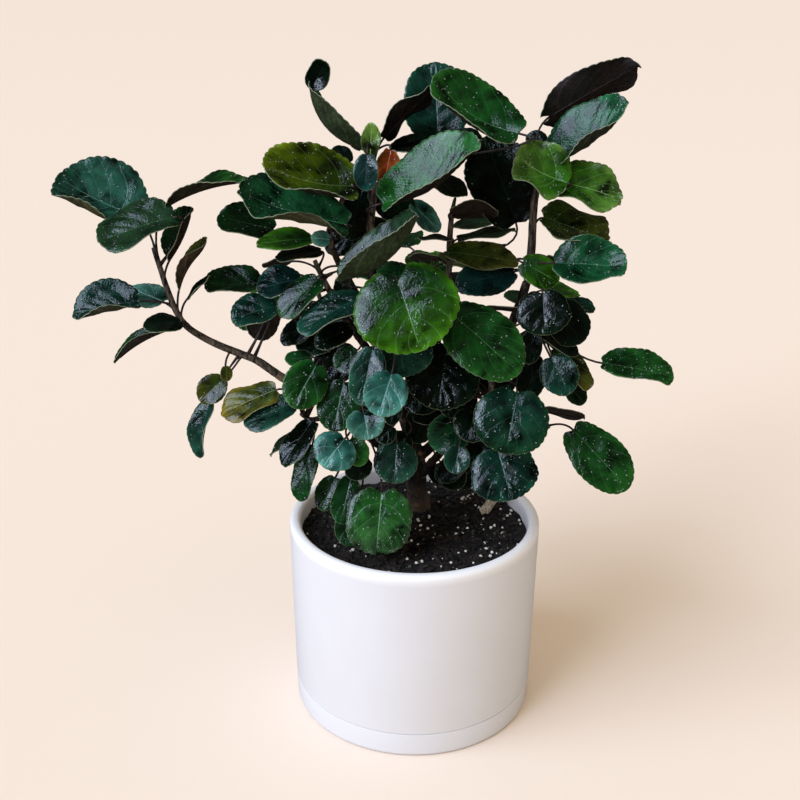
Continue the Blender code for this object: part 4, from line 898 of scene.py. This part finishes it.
# Leaves, stalks and green stems: one leafy shoot at a time
print("leafy shoots")
leafSet = {
    "thick": 0.5, "rows": (30, 96), "rowsPerMm": 1.35,
    "across": (0.0, 0.05, 0.14, 0.26, 0.4, 0.54, 0.68, 0.8, 0.89, 0.95, 1.0),
    # the margin: its notch at the stalk, its sweep, its unevenness and its teeth
    "notch": 0.3, "sweep": 1.3, "odd": 0.05, "toothPitch": 2.9, "toothGrow": 0.05, "toothDepth": 0.034,
    "toothLean": 0.22, "toothRound": 0.6, "toothOut": 0.9, "toothFade": 12.0, "toothDrift": (0.1, 7.0),
    "marginPower": 7,
    # the surface: how soft the fold is, the hook at the tip, veins, quilting, waves, crumples, rolled edge
    "foldSoft": 1.8, "samples": 30, "samplesTo": 1.15, "hookFrom": 0.6, "hookPower": 1.5, "hookMean": 0.6,
    "ribEnd": 0.975, "veinPitch": 7.5, "leastPitch": 3.0, "veinSweep": 0.26, "sweepTo": 0.35,
    "quilt": 0.55, "quiltPower": 0.8, "quiltFrom": 5.0, "quiltTo": 5, "fullHalf": 20.0,
    "wave": 0.026, "wavePower": 3, "waveCount": (9.0, 14.0), "phases": (0.0, 6.0),
    "crumple": 0.8, "crumpleSize": 9.0, "crumpleFrom": 3.0, "crumpleSeeds": (0.0, 50.0),
    "roll": 0.5, "rollFrom": 0.8,
    # the tone: the width of the paler margin, and how far the tip's colour reaches
    "marginWide": 5.0, "marginShare": 0.5, "tipShare": 0.55, "toneStart": 0.1,
}
stalkSet = {
    "radius": 0.72, "sides": 2, "steps": 9, "collar": 0.75, "collarFrom": 0.75,
    # how far down the stem a stalk roots, how it sweeps out, and the places along the stem for it
    "share": 0.45, "least": 16.0, "reach": 0.5, "sweep": 0.42, "skip": 9, "rootsEach": 8, "fewest": 4,
    # the midrib's ridge under the blade
    "ribRadius": 0.42, "ribDrop": 0.34, "ribTo": 0.86, "ribTaper": 0.75, "ribSteps": 10,
}
stemSet = {"lead": (0.3, 3.0), "spans": 6, "sides": 4, "grain": 0.25, "ridge": 0.14, "ridgeSize": 0.9,
           "ring": 0.2, "ringSize": 2.2, "ringGrain": 0.15}
dropSet = {"most": 110, "fullLeaf": 900.0, "size": (0.14, 0.5), "stretch": (0.8, 1.3), "flat": 0.7,
           "leastFace": 0.3, "sit": 0.4}

# Leaf tones: upper side, its tip and margin, underside
tones = {
    "deep": ("#08260F", "#0F3C16", "#241F16"), "green": ("#0A3210", "#1D5218", "#2E2A1A"),
    "bright": ("#0A2C0A", "#427E0A", "#36401C"), "fresh": ("#0E4412", "#30683A", "#241C14"),
    "lime": ("#1E3004", "#5E7404", "#2C2216"), "teal": ("#06231A", "#0F3C2E", "#303422"),
    # the mint tone's pale grey-green, palest at its tip and margin, is a painted sheen: a whitish teal
    # reflection on a dark leaf
    "mint": ("#1A443A", "#4E8072", "#40503A"), "blue": ("#061D1B", "#0D3631", "#181A16"),
    "olive": ("#20300A", "#4A4A18", "#44382A"), "dark": ("#030D07", "#071A0C", "#120E0A"),
    "brown": ("#0B220E", "#0F2C12", "#2C221A"), "purple": ("#0A200E", "#0E2814", "#1F1513"),
    "grey": ("#142A18", "#1F3E22", "#303E24"), "young": ("#4A6A24", "#5A7A30", "#4C5830"),
    "withered": ("#702E0E", "#8A481A", "#603012"), "veined": ("#1A4E1C", "#3A5236", "#3C4422"),
    # dawn's pale teal base is a painted sheen on a leaf that is dark towards its tip; dale's paler base end
    # is painted light, lifting a part that the leaf's own curl shades, and a painted sheen
    "dawn": ("#1E4A3C", "#0A2A1C", "#3E3E22"), "dale": ("#1A4C2C", "#08240F", "#3E3E22"),
    # the sheen tone's pale teal, palest at its tip and margin, is a painted sheen
    "dusk": ("#0A2A20", "#0C3616", "#26281C"), "sheen": ("#1A4A40", "#4E8C80", "#343E30"),
    "jade": ("#0A341C", "#1C5C38", "#262A1C"), "ruffled": ("#26560C", "#5E7E3A", "#18240F"),
    "steel": ("#0C281F", "#1F4B3B", "#343E30"), "turned": ("#3A4A1E", "#7C6604", "#4A4420"),
}

# How far a blade's margins curl towards its upper side by their edge, left and right of the midrib seen from
# the stalk (degrees), how far its tip hooks over (degrees), and how ruffled its margin is (share).
curls = {
    "left": {0: (95, 30, 0, 1), 1: (10, 50, 0, 1), 2: (40, -10, 10, 2), 3: (30, 20, 0, 1), 4: (20, 60, 40, 1),
             5: (85, 35, 0, 1), 7: (30, 20, 0, 1), 10: (50, 10, 30, 1), 14: (30, 10, 0, 1)},
    "left_low": {0: (20, -15, 0, 2), 1: (20, 10, 0, 1), 2: (-20, -10, 0, 1)},
    "left_mid": {2: (25, 10, 0, 1), 3: (20, -10, 0, 1), 4: (20, -20, 0, 1), 7: (30, -10, 0, 1)},
    "left_top": {0: (75, 25, 0, 1), 2: (95, 30, 20, 2), 3: (40, 10, 0, 1), 4: (25, 10, 0, 1)},
    "top": {0: (70, 15, 0, 1), 1: (30, 20, 0, 1), 2: (10, 10, 0, 2), 3: (40, 40, 0, 1), 5: (50, -30, 30, 3),
            7: (15, 62, 0, 1), 15: (40, 40, 30, 1)},
    "centre": {0: (35, 10, 0, 1), 4: (25, -10, 0, 1)},
    "right": {0: (50, 30, 20, 3), 1: (25, 30, 0, 2), 2: (15, 70, 0, 1), 3: (25, 15, 0, 2),
              5: (-60, 30, 20, 2), 6: (40, 50, 20, 2), 8: (-25, 20, 0, 1)},
    "right_mid": {0: (-20, -20, 0, 1), 1: (10, -25, 0, 1), 6: (-30, 30, 0, 2), 8: (40, 60, 0, 1)},
    "right_low": {0: (-25, -10, -20, 1)},
    "front": {0: (-22, -12, -14, 1), 1: (25, 40, 0, 1), 5: (-20, -20, 0, 1)},
    "front_right": {0: (-24, -8, 0, 1), 1: (-26, -22, -34, 1), 2: (-24, -20, 0, 1), 3: (-25, -20, 0, 1),
                    4: (-20, 30, 0, 1)},
    "front_left": {0: (-25, -25, 0, 1), 1: (-20, -25, 0, 1), 4: (-18, -18, -12, 1), 5: (30, 10, 0, 1),
                   6: (-25, -30, 0, 1), 7: (20, 30, 0, 1)},
}

# Blades without a stalk: the scrolled end of the tall leaf at the top.
stalkless = {"top": [15]}


def readLeaf(row, curl):
    baseX, baseZ, tipX, tipZ, width, baseDepth, tipDepth = row[:7]
    base = seenPoint(baseX, baseZ, baseDepth)
    tip = seenPoint(tipX, tipZ, tipDepth)
    leaf = dict(zip(("leanRight", "leanUp", "fold", "bow", "turn", "lobe", "tone", "wet"), row[7:]))
    leaf.update(base=base, axis=(tip - base).normalized(), length=(tip - base).length, half=width / 2.0,
                toward=(eye - (base + tip) / 2.0).normalized(), curl=curl)
    return leaf


def leafFaces(leaf, share):
    # where the upper side faces, at each share of the length
    toward, axis = np.array(leaf["toward"]), np.array(leaf["axis"])
    right = np.array((1.0, 0.0, 0.0))
    right = right - toward * right.dot(toward)
    right /= np.linalg.norm(right)
    up = np.cross(toward, right)
    lean = math.hypot(leaf["leanRight"], leaf["leanUp"])
    aside = (right * leaf["leanRight"] + up * leaf["leanUp"]) / max(lean, 0.001)
    angle = np.radians(lean * (1.0 + leaf["turn"] * share))[:, None]
    normal = toward * np.cos(angle) + aside * np.sin(angle)
    normal -= np.outer(normal @ axis, axis)
    return normal / np.linalg.norm(normal, axis=1)[:, None]


def leafPoints(leaf, along, across, lift):
    # flat places on the blade, folded along the midrib, curled at the margins, bowed, hooked at the tip and
    # lifted off the surface
    s = leafSet
    left, right, hook = leaf["curl"][:3]
    run = np.linspace(0.0, leaf["half"] * s["samplesTo"], s["samples"])
    step = run[1]
    opening = math.radians(leaf["fold"]) * (1.0 - np.exp(-run / s["foldSoft"]))
    turn, out, rise = np.zeros((3, len(across)))
    for sign, curl in ((-1.0, left), (1.0, right)):
        bend = opening + math.radians(curl) * (run / leaf["half"]) ** 2
        one = np.sign(across) == sign
        turn[one] = np.interp(np.abs(across[one]), run, bend) * sign
        out[one] = np.interp(np.abs(across[one]), run, np.cumsum(np.cos(bend)) * step - step) * sign
        rise[one] = np.interp(np.abs(across[one]), run, np.cumsum(np.sin(bend)) * step)
    share = along / leaf["length"]
    axis = np.array(leaf["axis"])
    normal = leafFaces(leaf, share)
    side = np.cross(axis, normal)
    # share * (1 - share) * 4 is 1 halfway along
    bow = leafFaces(leaf, np.array([0.5]))[0] * leaf["bow"] * 4.0
    past = share - s["hookFrom"]
    over = np.radians(hook) * np.clip(past / (1.0 - s["hookFrom"]), 0.0, 1.0) ** s["hookPower"]
    over = over * s["hookMean"]
    beyond = np.clip(past, 0.0, 1.0) * leaf["length"]
    outward = normal * np.cos(turn)[:, None] - side * np.sin(turn)[:, None]
    place = np.array(leaf["base"]) + np.outer(share * (1.0 - share), bow)
    place += np.outer(along - beyond * (1.0 - np.cos(over)), axis)
    place += normal * (rise + beyond * np.sin(over))[:, None]
    return place + side * out[:, None] + outward * lift[:, None]


def leafStart(leaf):
    # direction in which the midrib sets out
    middle = Vector(leafFaces(leaf, np.array([0.5]))[0])
    return (leaf["axis"] * leaf["length"] + middle * leaf["bow"] * 4.0).normalized()


def outline(leaf, s, rows, seed):
    # the scalloped margin of one half, from the lobe beside the stalk to the tip
    reach = leaf["length"] * (1.0 + leaf["lobe"]) / 2.0
    turn = (math.pi - s["notch"]) * (1.0 - rows) ** s["sweep"]
    ripple = np.sin(turn * 2.0 + seed) + 0.6 * np.sin(turn * 5.0 + seed * 2.0)
    uneven = 1.0 + s["odd"] * ripple * np.sin(turn)
    along = leaf["length"] - reach + reach * np.cos(turn)
    across = leaf["half"] * np.sin(turn) * np.minimum(uneven, 1.0)
    run = np.concatenate([[0.0], np.cumsum(np.hypot(np.diff(along), np.diff(across)))])
    size = leaf["length"] + leaf["half"] * 2.0
    teeth = max(4, round(run[-1] / (s["toothPitch"] + s["toothGrow"] * size / 2.0)))
    drift, driftSize = s["toothDrift"]
    beat = (teeth * run / run[-1] + drift * np.sin(run / driftSize + seed)) % 1.0
    scallop = np.sin(math.pi * beat ** (1.0 + s["toothLean"])) ** s["toothRound"] - s["toothOut"]
    depth = s["toothDepth"] * leaf["half"] * np.minimum(1.0, s["toothFade"] * (1.0 - rows))
    outX, outY = np.cos(turn) * leaf["half"], np.sin(turn) * reach
    size = np.maximum(np.hypot(outX, outY), 0.001)
    return along, across, outX / size * scallop * depth, outY / size * scallop * depth


def noiseAt(points, size, seed):
    return np.array([noise.noise(Vector((x / size + seed, y / size, seed * 1.7))) for x, y in points])


def bladeTones(s, tone, share, bare):
    # colours of the two sides: the upper one turns to the tip's colour towards the tip and the margin
    main, tip, below = (np.array(linearColour(code)) for code in tone)
    margin = 1.0 - np.clip(bare / s["marginWide"], 0.0, 1.0)
    blend = np.clip(s["tipShare"] * share + s["marginShare"] * margin - s["toneStart"], 0.0, 1.0)[:, None]
    return main * (1.0 - blend) + tip * blend, np.tile(below, (len(share), 1))


def makeBlade(leaf, s, draw):
    # one blade as a grid that follows the midrib one way and the veins the other
    length = leaf["length"]
    count = int(min(max((length + leaf["half"]) * s["rowsPerMm"], s["rows"][0]), s["rows"][1]))
    half = list(s["across"])
    steps = np.array([-value for value in half[:0:-1]] + half)
    deselectAll()
    bpy.ops.mesh.primitive_grid_add(x_subdivisions=count, y_subdivisions=len(steps) - 1, size=1.0)
    blade = bpy.context.object
    mesh = blade.data
    raw = meshPoints(mesh)
    rows = np.clip(raw[:, 0] + 0.5, 0.0, 1.0)
    t = -steps[np.rint((raw[:, 1] + 0.5) * (len(steps) - 1)).astype(int)]
    bare = np.abs(t)

    grid = np.linspace(0.0, 1.0, count + 1)
    margin = outline(leaf, s, grid, draw.uniform(*s["phases"]))
    marginX, marginY, pushX, pushY = (np.interp(rows, grid, line) for line in margin)
    weight = bare ** s["marginPower"]
    ribX = length * s["ribEnd"] * rows
    along = ribX * (1.0 - bare) + marginX * bare + pushX * weight
    across = np.sign(t) * (marginY * bare + pushY * weight)
    span = np.hypot(marginX - ribX, marginY)

    pitch = max(length / max(3, round(length / s["veinPitch"])), s["leastPitch"])
    vein = length / pitch * (rows - s["veinSweep"] * np.clip(rows / s["sweepTo"], 0.0, 1.0) * bare)
    size = min(1.0, leaf["half"] / s["fullHalf"])
    bulge = np.abs(np.sin(math.pi * vein)) ** s["quiltPower"]
    bulge = bulge * np.clip(bare * s["quiltFrom"], 0.0, 1.0) * (1.0 - bare ** s["quiltTo"])
    phase = draw.uniform(*s["phases"])
    waves = np.sin(rows * draw.uniform(*s["waveCount"]) + phase * np.sign(t)) * bare ** s["wavePower"]
    flat = np.stack([along, across], axis=1)
    rough = noiseAt(flat, s["crumpleSize"], draw.uniform(*s["crumpleSeeds"]))
    lift = s["quilt"] * size * bulge + s["wave"] * length * leaf["curl"][3] * waves
    lift += s["crumple"] * size * rough * np.clip(bare * s["crumpleFrom"], 0.0, 1.0)
    lift -= s["roll"] * size * np.clip((bare - s["rollFrom"]) / (1.0 - s["rollFrom"]), 0.0, 1.0) ** 2
    setPoints(mesh, leafPoints(leaf, along, across, lift) * mm)

    # what the leaf materials read: the tones, millimetres to the margin and the midrib, and between veins
    edge = (1.0 - bare) * span
    upper, under = bladeTones(s, tones[leaf["tone"]], rows, edge)
    layers = {"tone": upper, "under": under, "edge": edge, "rib": bare * span,
              "pitch": np.full(len(rows), pitch)}
    for label, values in layers.items():
        kind, field = ("FLOAT_COLOR", "color") if values.ndim == 2 else ("FLOAT", "value")
        mesh.attributes.new(label, kind, "POINT").data.foreach_set(field, values.ravel())
    uv = mesh.uv_layers.active
    uv.name = "leafMap"
    corner = np.empty(len(mesh.loops), dtype=int)
    mesh.loops.foreach_get("vertex_index", corner)
    uv.data.foreach_set("uv", np.stack([vein, t], axis=1)[corner].ravel())
    return blade, placeDrops(leaf, mesh, dropSet, draw)


def placeDrops(leaf, mesh, s, draw):
    # water that stands on the upper side of a wet leaf
    count = int(s["most"] * leaf["wet"] * min(1.0, leaf["length"] * leaf["half"] / s["fullLeaf"]))
    faces = mesh.polygons
    places = []
    for _ in range(count):
        face = faces[draw.randrange(len(faces))]
        if face.area < s["leastFace"] * mm * mm:
            continue
        size = draw.uniform(*s["size"]) * mm
        normal = Vector(face.normal)
        spot = Vector(face.center) + normal * leafSet["thick"] * s["sit"] * mm
        turn = normal.to_track_quat("Z", "Y").to_matrix().to_4x4()
        scale = Matrix.Diagonal((size, size * draw.uniform(*s["stretch"]), size, 1.0))
        places.append(Matrix.Translation(spot) @ turn @ scale)
    return places


def finishBlades(piece, s):
    # closes the tips, gives the blades their thickness and their three finishes
    closeMesh(piece, meshSet["tubeGap"], outwards=False)
    skin = piece.modifiers.new("thickness", "SOLIDIFY")
    skin.thickness = s["thick"] * mm
    skin.offset = 0.0
    skin.material_offset = 1
    skin.material_offset_rim = 2
    bpy.ops.object.modifier_apply(modifier=skin.name)
    piece.data.shade_smooth()


def stalkPath(leaf, stem, s):
    # from the leaf's base back to the place on the stem that it grew from
    reach = s["share"] * max(s["least"], s["reach"] * leaf["length"])
    wish = leaf["base"] - leafStart(leaf) * reach - Vector((0.0, 0.0, reach))
    root = min(stem, key=lambda spot: (spot - wish).length)
    if len(stem) > s["fewest"]:
        stem.remove(root)
    span = (root - leaf["base"]).length
    bend = leaf["base"] - leafStart(leaf) * span * s["sweep"]
    path = []
    for step in range(s["steps"] + 1):
        share = step / s["steps"]
        spot = leaf["base"].lerp(bend, share).lerp(bend.lerp(root, share), share)
        swell = max(0.0, (share - s["collarFrom"]) / (1.0 - s["collarFrom"])) ** 2 * s["collar"]
        path.append((spot, s["radius"] + swell))
    return path


def ribPath(leaf, s):
    # the midrib's ridge on the underside, which carries the stalk on to near the tip
    share = np.linspace(0.0, s["ribTo"], s["ribSteps"])
    spots = leafPoints(leaf, share * leaf["length"], np.zeros(len(share)), np.full(len(share), -s["ribDrop"]))
    radius = s["ribRadius"] * (1.0 - s["ribTaper"] * share)
    return [(Vector(spot), float(size)) for spot, size in zip(spots, radius)]


def stemPlaces(points, s):
    # places along a stem where stalks may root, short of its two ends
    spots = []
    for (first, _), (second, _) in zip(points, points[1:]):
        for step in range(1, s["rootsEach"]):
            spots.append(first.lerp(second, step / s["rootsEach"]))
    return spots[s["skip"]:-1]


def stemPath(name):
    # the green stem, straight on from the end of its cane
    (before, _), (end, radius) = seenPath(caneRows[name])[-2:]
    along = (end - before).normalized()
    return [(end + along * lead, radius) for lead in stemSet["lead"]] + seenPath(stemRows[name])


def backRows(name, s, draw):
    # leaves of a hidden shoot: spread round its stem, tips outwards and a little down
    count, first, last = s["shoots"][name]
    points = [place for place, _ in seenPath(stemRows[name])]
    rows = []
    for index in range(count):
        share = (index + 0.5) / count * (len(points) - 1)
        spot = points[int(share)].lerp(points[int(share) + 1], share % 1.0)
        bearing = first + (last - first) * (s["golden"] * index % 1.0)
        turn = math.radians(bearing + draw.uniform(-s["sway"], s["sway"]))
        out = Vector((math.cos(turn), math.sin(turn), 0.0))
        length = draw.uniform(*s["length"])
        base = spot + out * draw.uniform(*s["stalk"]) + Vector((0.0, 0.0, draw.uniform(*s["lift"])))
        tip = base + out * length * s["out"] + Vector((0.0, 0.0, length * draw.uniform(*s["hang"])))
        width = length * draw.uniform(*s["width"])
        fold = draw.uniform(*s["fold"])
        ends = [eye + (place - eye) * (0.0 - eye.y) / (place.y - eye.y) for place in (base, tip)]
        rows.append((ends[0].x, ends[0].z, ends[1].x, ends[1].z, width, base.y, tip.y, 0.0, s["lean"], fold,
                     s["bow"], 0.0, s["lobe"], s["tones"][index], s["wet"]))
    return rows


def stemPush(place, normal):
    # young wood: fine ridges along the stem and a ring at each node
    s = stemSet
    ridge = noise.noise(Vector((place.x, place.y, place.z * s["grain"])) / s["ridgeSize"])
    ring = noise.noise(Vector((place.x * s["ringGrain"], place.y * s["ringGrain"], place.z)) / s["ringSize"])
    return s["ridge"] * ridge + s["ring"] * max(ring, 0.0)


def makeShoot(name, rows, finishes):
    draw = random.Random(name)
    stem = stemPath(name)
    spots = stemPlaces(stem, stalkSet)
    blades = []
    drops = []
    stalks = []
    for index, row in enumerate(rows):
        leaf = readLeaf(row, curls.get(name, {}).get(index, (0, 0, 0, 1)))
        blade, wet = makeBlade(leaf, leafSet, draw)
        blades.append(blade)
        drops += wet
        if index not in stalkless.get(name, []):
            stalks.append(stalkPath(leaf, spots, stalkSet))
        stalks.append(ribPath(leaf, stalkSet))
    leaves = joinPieces(blades, "leaves_" + name)
    leaves.data.materials.clear()
    for finish in finishes["blade"]:
        leaves.data.materials.append(finish)
    finishBlades(leaves, leafSet)
    wood = tubes("stem_" + name, [smoothPath(stem, stemSet["spans"])], stemSet["sides"])
    roughen(wood, stemPush)
    wood.data.materials.append(finishes["stem"])
    thin = tubes("stalks_" + name, stalks, stalkSet["sides"])
    thin.data.shade_smooth()
    thin.data.materials.append(finishes["stalk"])
    for piece in (leaves, joinPieces([wood, thin], "stem_" + name)):
        handOver(piece, "shoot_" + name)
    return drops


def lateralVeins(tree, inner, outer):
    # lines along the lateral veins, which fade from inner to outer millimetres either side of each one; the
    # blade's UV map counts the veins along u
    uv = addNode(tree, "ShaderNodeUVMap", uv_map="leafMap")
    pitch = addNode(tree, "ShaderNodeAttribute", attribute_name="pitch").outputs["Fac"]
    vein = addNode(tree, "ShaderNodeSeparateXYZ", {0: uv})
    away = addNode(tree, "ShaderNodeMath", {0: vein, 1: 0.5}, operation="PINGPONG")
    far = addNode(tree, "ShaderNodeMath", {0: away, 1: pitch}, operation="MULTIPLY")
    return addNode(tree, "ShaderNodeMapRange", {
        "Value": far, "From Min": inner, "From Max": outer, "To Min": 0.3, "To Max": 0.0})


def leafUpper():
    # a waxy, quilted blade: deep green, fine veins a little paler, a thin pale margin, and a film of water
    # that leaves some patches glossy and others satin
    made, tree, shader, coords = newMaterial("waxyLeafUpperSide")
    tone = addNode(tree, "ShaderNodeAttribute", attribute_name="tone")
    edge, rib = (addNode(tree, "ShaderNodeAttribute", attribute_name=name).outputs["Fac"]
                 for name in ("edge", "rib"))
    # clouding of about 8 mm, as light and dark green: partly the leaf's own mottling and partly painted sheen
    # and shade
    cloud = addNode(tree, "ShaderNodeTexNoise", {
        "Vector": coords, "Scale": 80.0, "Detail": 5.0, "Distortion": 0.5})
    value = addNode(tree, "ShaderNodeMapRange", {
        "Value": cloud, "From Min": 0.32, "From Max": 0.68, "To Min": 0.1, "To Max": 1.8})
    cloudy = addNode(tree, "ShaderNodeHueSaturation", {"Color": tone, "Value": value})
    paler = addNode(tree, "ShaderNodeHueSaturation", {"Color": tone, "Value": 3.2, "Saturation": 0.8})
    # lateral veins, drawn 0.4 mm wide so that they show, and the midrib
    midrib = addNode(tree, "ShaderNodeMapRange", {
        "Value": rib, "From Min": 0.2, "From Max": 0.55, "To Min": 0.75, "To Max": 0.0})
    lines = addNode(tree, "ShaderNodeMath", {0: lateralVeins(tree, 0.1, 0.4), 1: midrib},
                    operation="MAXIMUM")
    veined = addNode(tree, "ShaderNodeMix", {"Factor": lines, 6: cloudy, 7: paler}, data_type="RGBA")
    # the thin cartilage line round the margin
    margin = addNode(tree, "ShaderNodeMapRange", {
        "Value": edge, "From Min": 0.15, "From Max": 0.5, "To Min": 0.4, "To Max": 0.0})
    colour = addNode(tree, "ShaderNodeMix", {"Factor": margin, 6: veined, 7: "#7E8A6C"}, data_type="RGBA")
    # water film: patches of 4 mm and more, with sharp shores
    patch = addNode(tree, "ShaderNodeTexNoise", {
        "Vector": coords, "Scale": 210.0, "Detail": 3.0, "Distortion": 0.8})
    wet = addNode(tree, "ShaderNodeMapRange", {"Value": patch, "From Min": 0.46, "From Max": 0.54})
    rough = addNode(tree, "ShaderNodeMapRange", {"Value": wet, "To Min": 0.25, "To Max": 0.1})
    # net of fine veins, cells of 2 mm
    net = addNode(tree, "ShaderNodeTexVoronoi", {"Vector": coords, "Scale": 480.0},
                  feature="DISTANCE_TO_EDGE")
    film = addNode(tree, "ShaderNodeTexNoise", {"Vector": coords, "Scale": 420.0, "Detail": 3.0})
    both = addNode(tree, "ShaderNodeMath", {0: net, 1: film}, operation="ADD")
    shore = addNode(tree, "ShaderNodeMath", {0: wet, 1: 0.35, 2: both}, operation="MULTIPLY_ADD")
    ridges = addNode(tree, "ShaderNodeMath", {0: shore, 1: lines}, operation="SUBTRACT")
    bump = addNode(tree, "ShaderNodeBump", {"Height": ridges, "Strength": 0.35, "Distance": 0.0005})
    setInputs(tree, shader, {"Base Color": colour, "Roughness": rough, "IOR": 1.5, "Normal": bump})
    return made


def leafUnder():
    # the underside: matt, brown to olive, with the veins raised and paler
    made, tree, shader, coords = newMaterial("mattLeafUnderside")
    tone = addNode(tree, "ShaderNodeAttribute", attribute_name="under")
    cloud = addNode(tree, "ShaderNodeTexNoise", {"Vector": coords, "Scale": 110.0, "Detail": 5.0})
    value = addNode(tree, "ShaderNodeMapRange", {
        "Value": cloud, "From Min": 0.3, "From Max": 0.7, "To Min": 0.65, "To Max": 1.35})
    # the net of veins on this side, in cells of about 4 mm: painted shade darkens the creases along it,
    # between the quilted cells
    net = addNode(tree, "ShaderNodeTexVoronoi", {"Vector": coords, "Scale": 240.0},
                  feature="DISTANCE_TO_EDGE")
    paintedCreaseShade = addNode(tree, "ShaderNodeMapRange", {
        "Value": net, "From Max": 0.2, "To Min": 0.62, "To Max": 1.1})
    shade = addNode(tree, "ShaderNodeMath", {0: value, 1: paintedCreaseShade}, operation="MULTIPLY")
    cloudy = addNode(tree, "ShaderNodeHueSaturation", {"Color": tone, "Value": shade})
    paler = addNode(tree, "ShaderNodeHueSaturation", {"Color": tone, "Value": 2.6, "Saturation": 0.8})
    lines = lateralVeins(tree, 0.15, 0.6)
    veined = addNode(tree, "ShaderNodeMix", {"Factor": lines, 6: cloudy, 7: paler}, data_type="RGBA")
    ridges = addNode(tree, "ShaderNodeMath", {0: net, 1: lines}, operation="ADD")
    bump = addNode(tree, "ShaderNodeBump", {"Height": ridges, "Strength": 0.5, "Distance": 0.0006})
    setInputs(tree, shader, {"Base Color": veined, "Roughness": 0.5, "Normal": bump})
    return made


def leafRim():
    # the cut edge of the blade: pale, hard cartilage
    made, tree, shader, _ = mottledMaterial("paleLeafMargin", "#59634A", "#96A084", 300.0)
    setInputs(tree, shader, {"Roughness": 0.4})
    return made


def streakedStem(name, dark, pale, scale):
    # young aralia wood: streaks along the stem and pale breathing pores
    return grainedMaterial(name, {
        "stretch": 0.25, "scale": scale, "detail": 4.0, "rough": 0.6, "satin": 0.5, "bump": (0.4, 0.4),
        "stops": ((0.38, dark), (0.68, pale))})[0]


def paintedGlintWater():
    # water drops: partly clear; their whitish colour is a painted glint
    made, tree, shader, _ = mottledMaterial("paintedGlintWater", "#DCE8E6", "#FFFFFF", 500.0)
    setInputs(tree, shader, {"Roughness": 0.06, "IOR": 1.33, "Transmission Weight": 0.7})
    return made


def dropPattern(s):
    # a flat dome, 2 units across, closed underneath
    deselectAll()
    bpy.ops.mesh.primitive_uv_sphere_add(segments=8, ring_count=6, radius=1.0)
    editWhole(bpy.context.object)
    bpy.ops.mesh.bisect(plane_co=(0.0, 0.0, 0.0), plane_no=(0.0, 0.0, 1.0), use_fill=True, clear_inner=True)
    bpy.ops.object.mode_set(mode="OBJECT")
    pattern = takePattern("waterDrop")
    for vert in pattern.vertices:
        vert.co.z *= s["flat"]
    return pattern


finishes = {"blade": (leafUpper(), leafUnder(), leafRim()),
            "stem": streakedStem("youngAraliaWood", "#16100E", "#6C6052", 600.0),
            "stalk": streakedStem("purpleLeafStalk", "#140C0C", "#423028", 500.0)}
backDraw = random.Random(backSet["seed"])
for name in backSet["shoots"]:
    leafRows[name] = backRows(name, backSet, backDraw)
dropPlaces = []
for name, rows in leafRows.items():
    dropPlaces += makeShoot(name, rows, finishes)

print("water drops")
drops = scatterCopies("water_drops", dropPattern(dropSet), dropPlaces)
drops.data.materials.append(paintedGlintWater())
drops.data.shade_smooth()
handOver(drops)

bpy.context.view_layer.update()
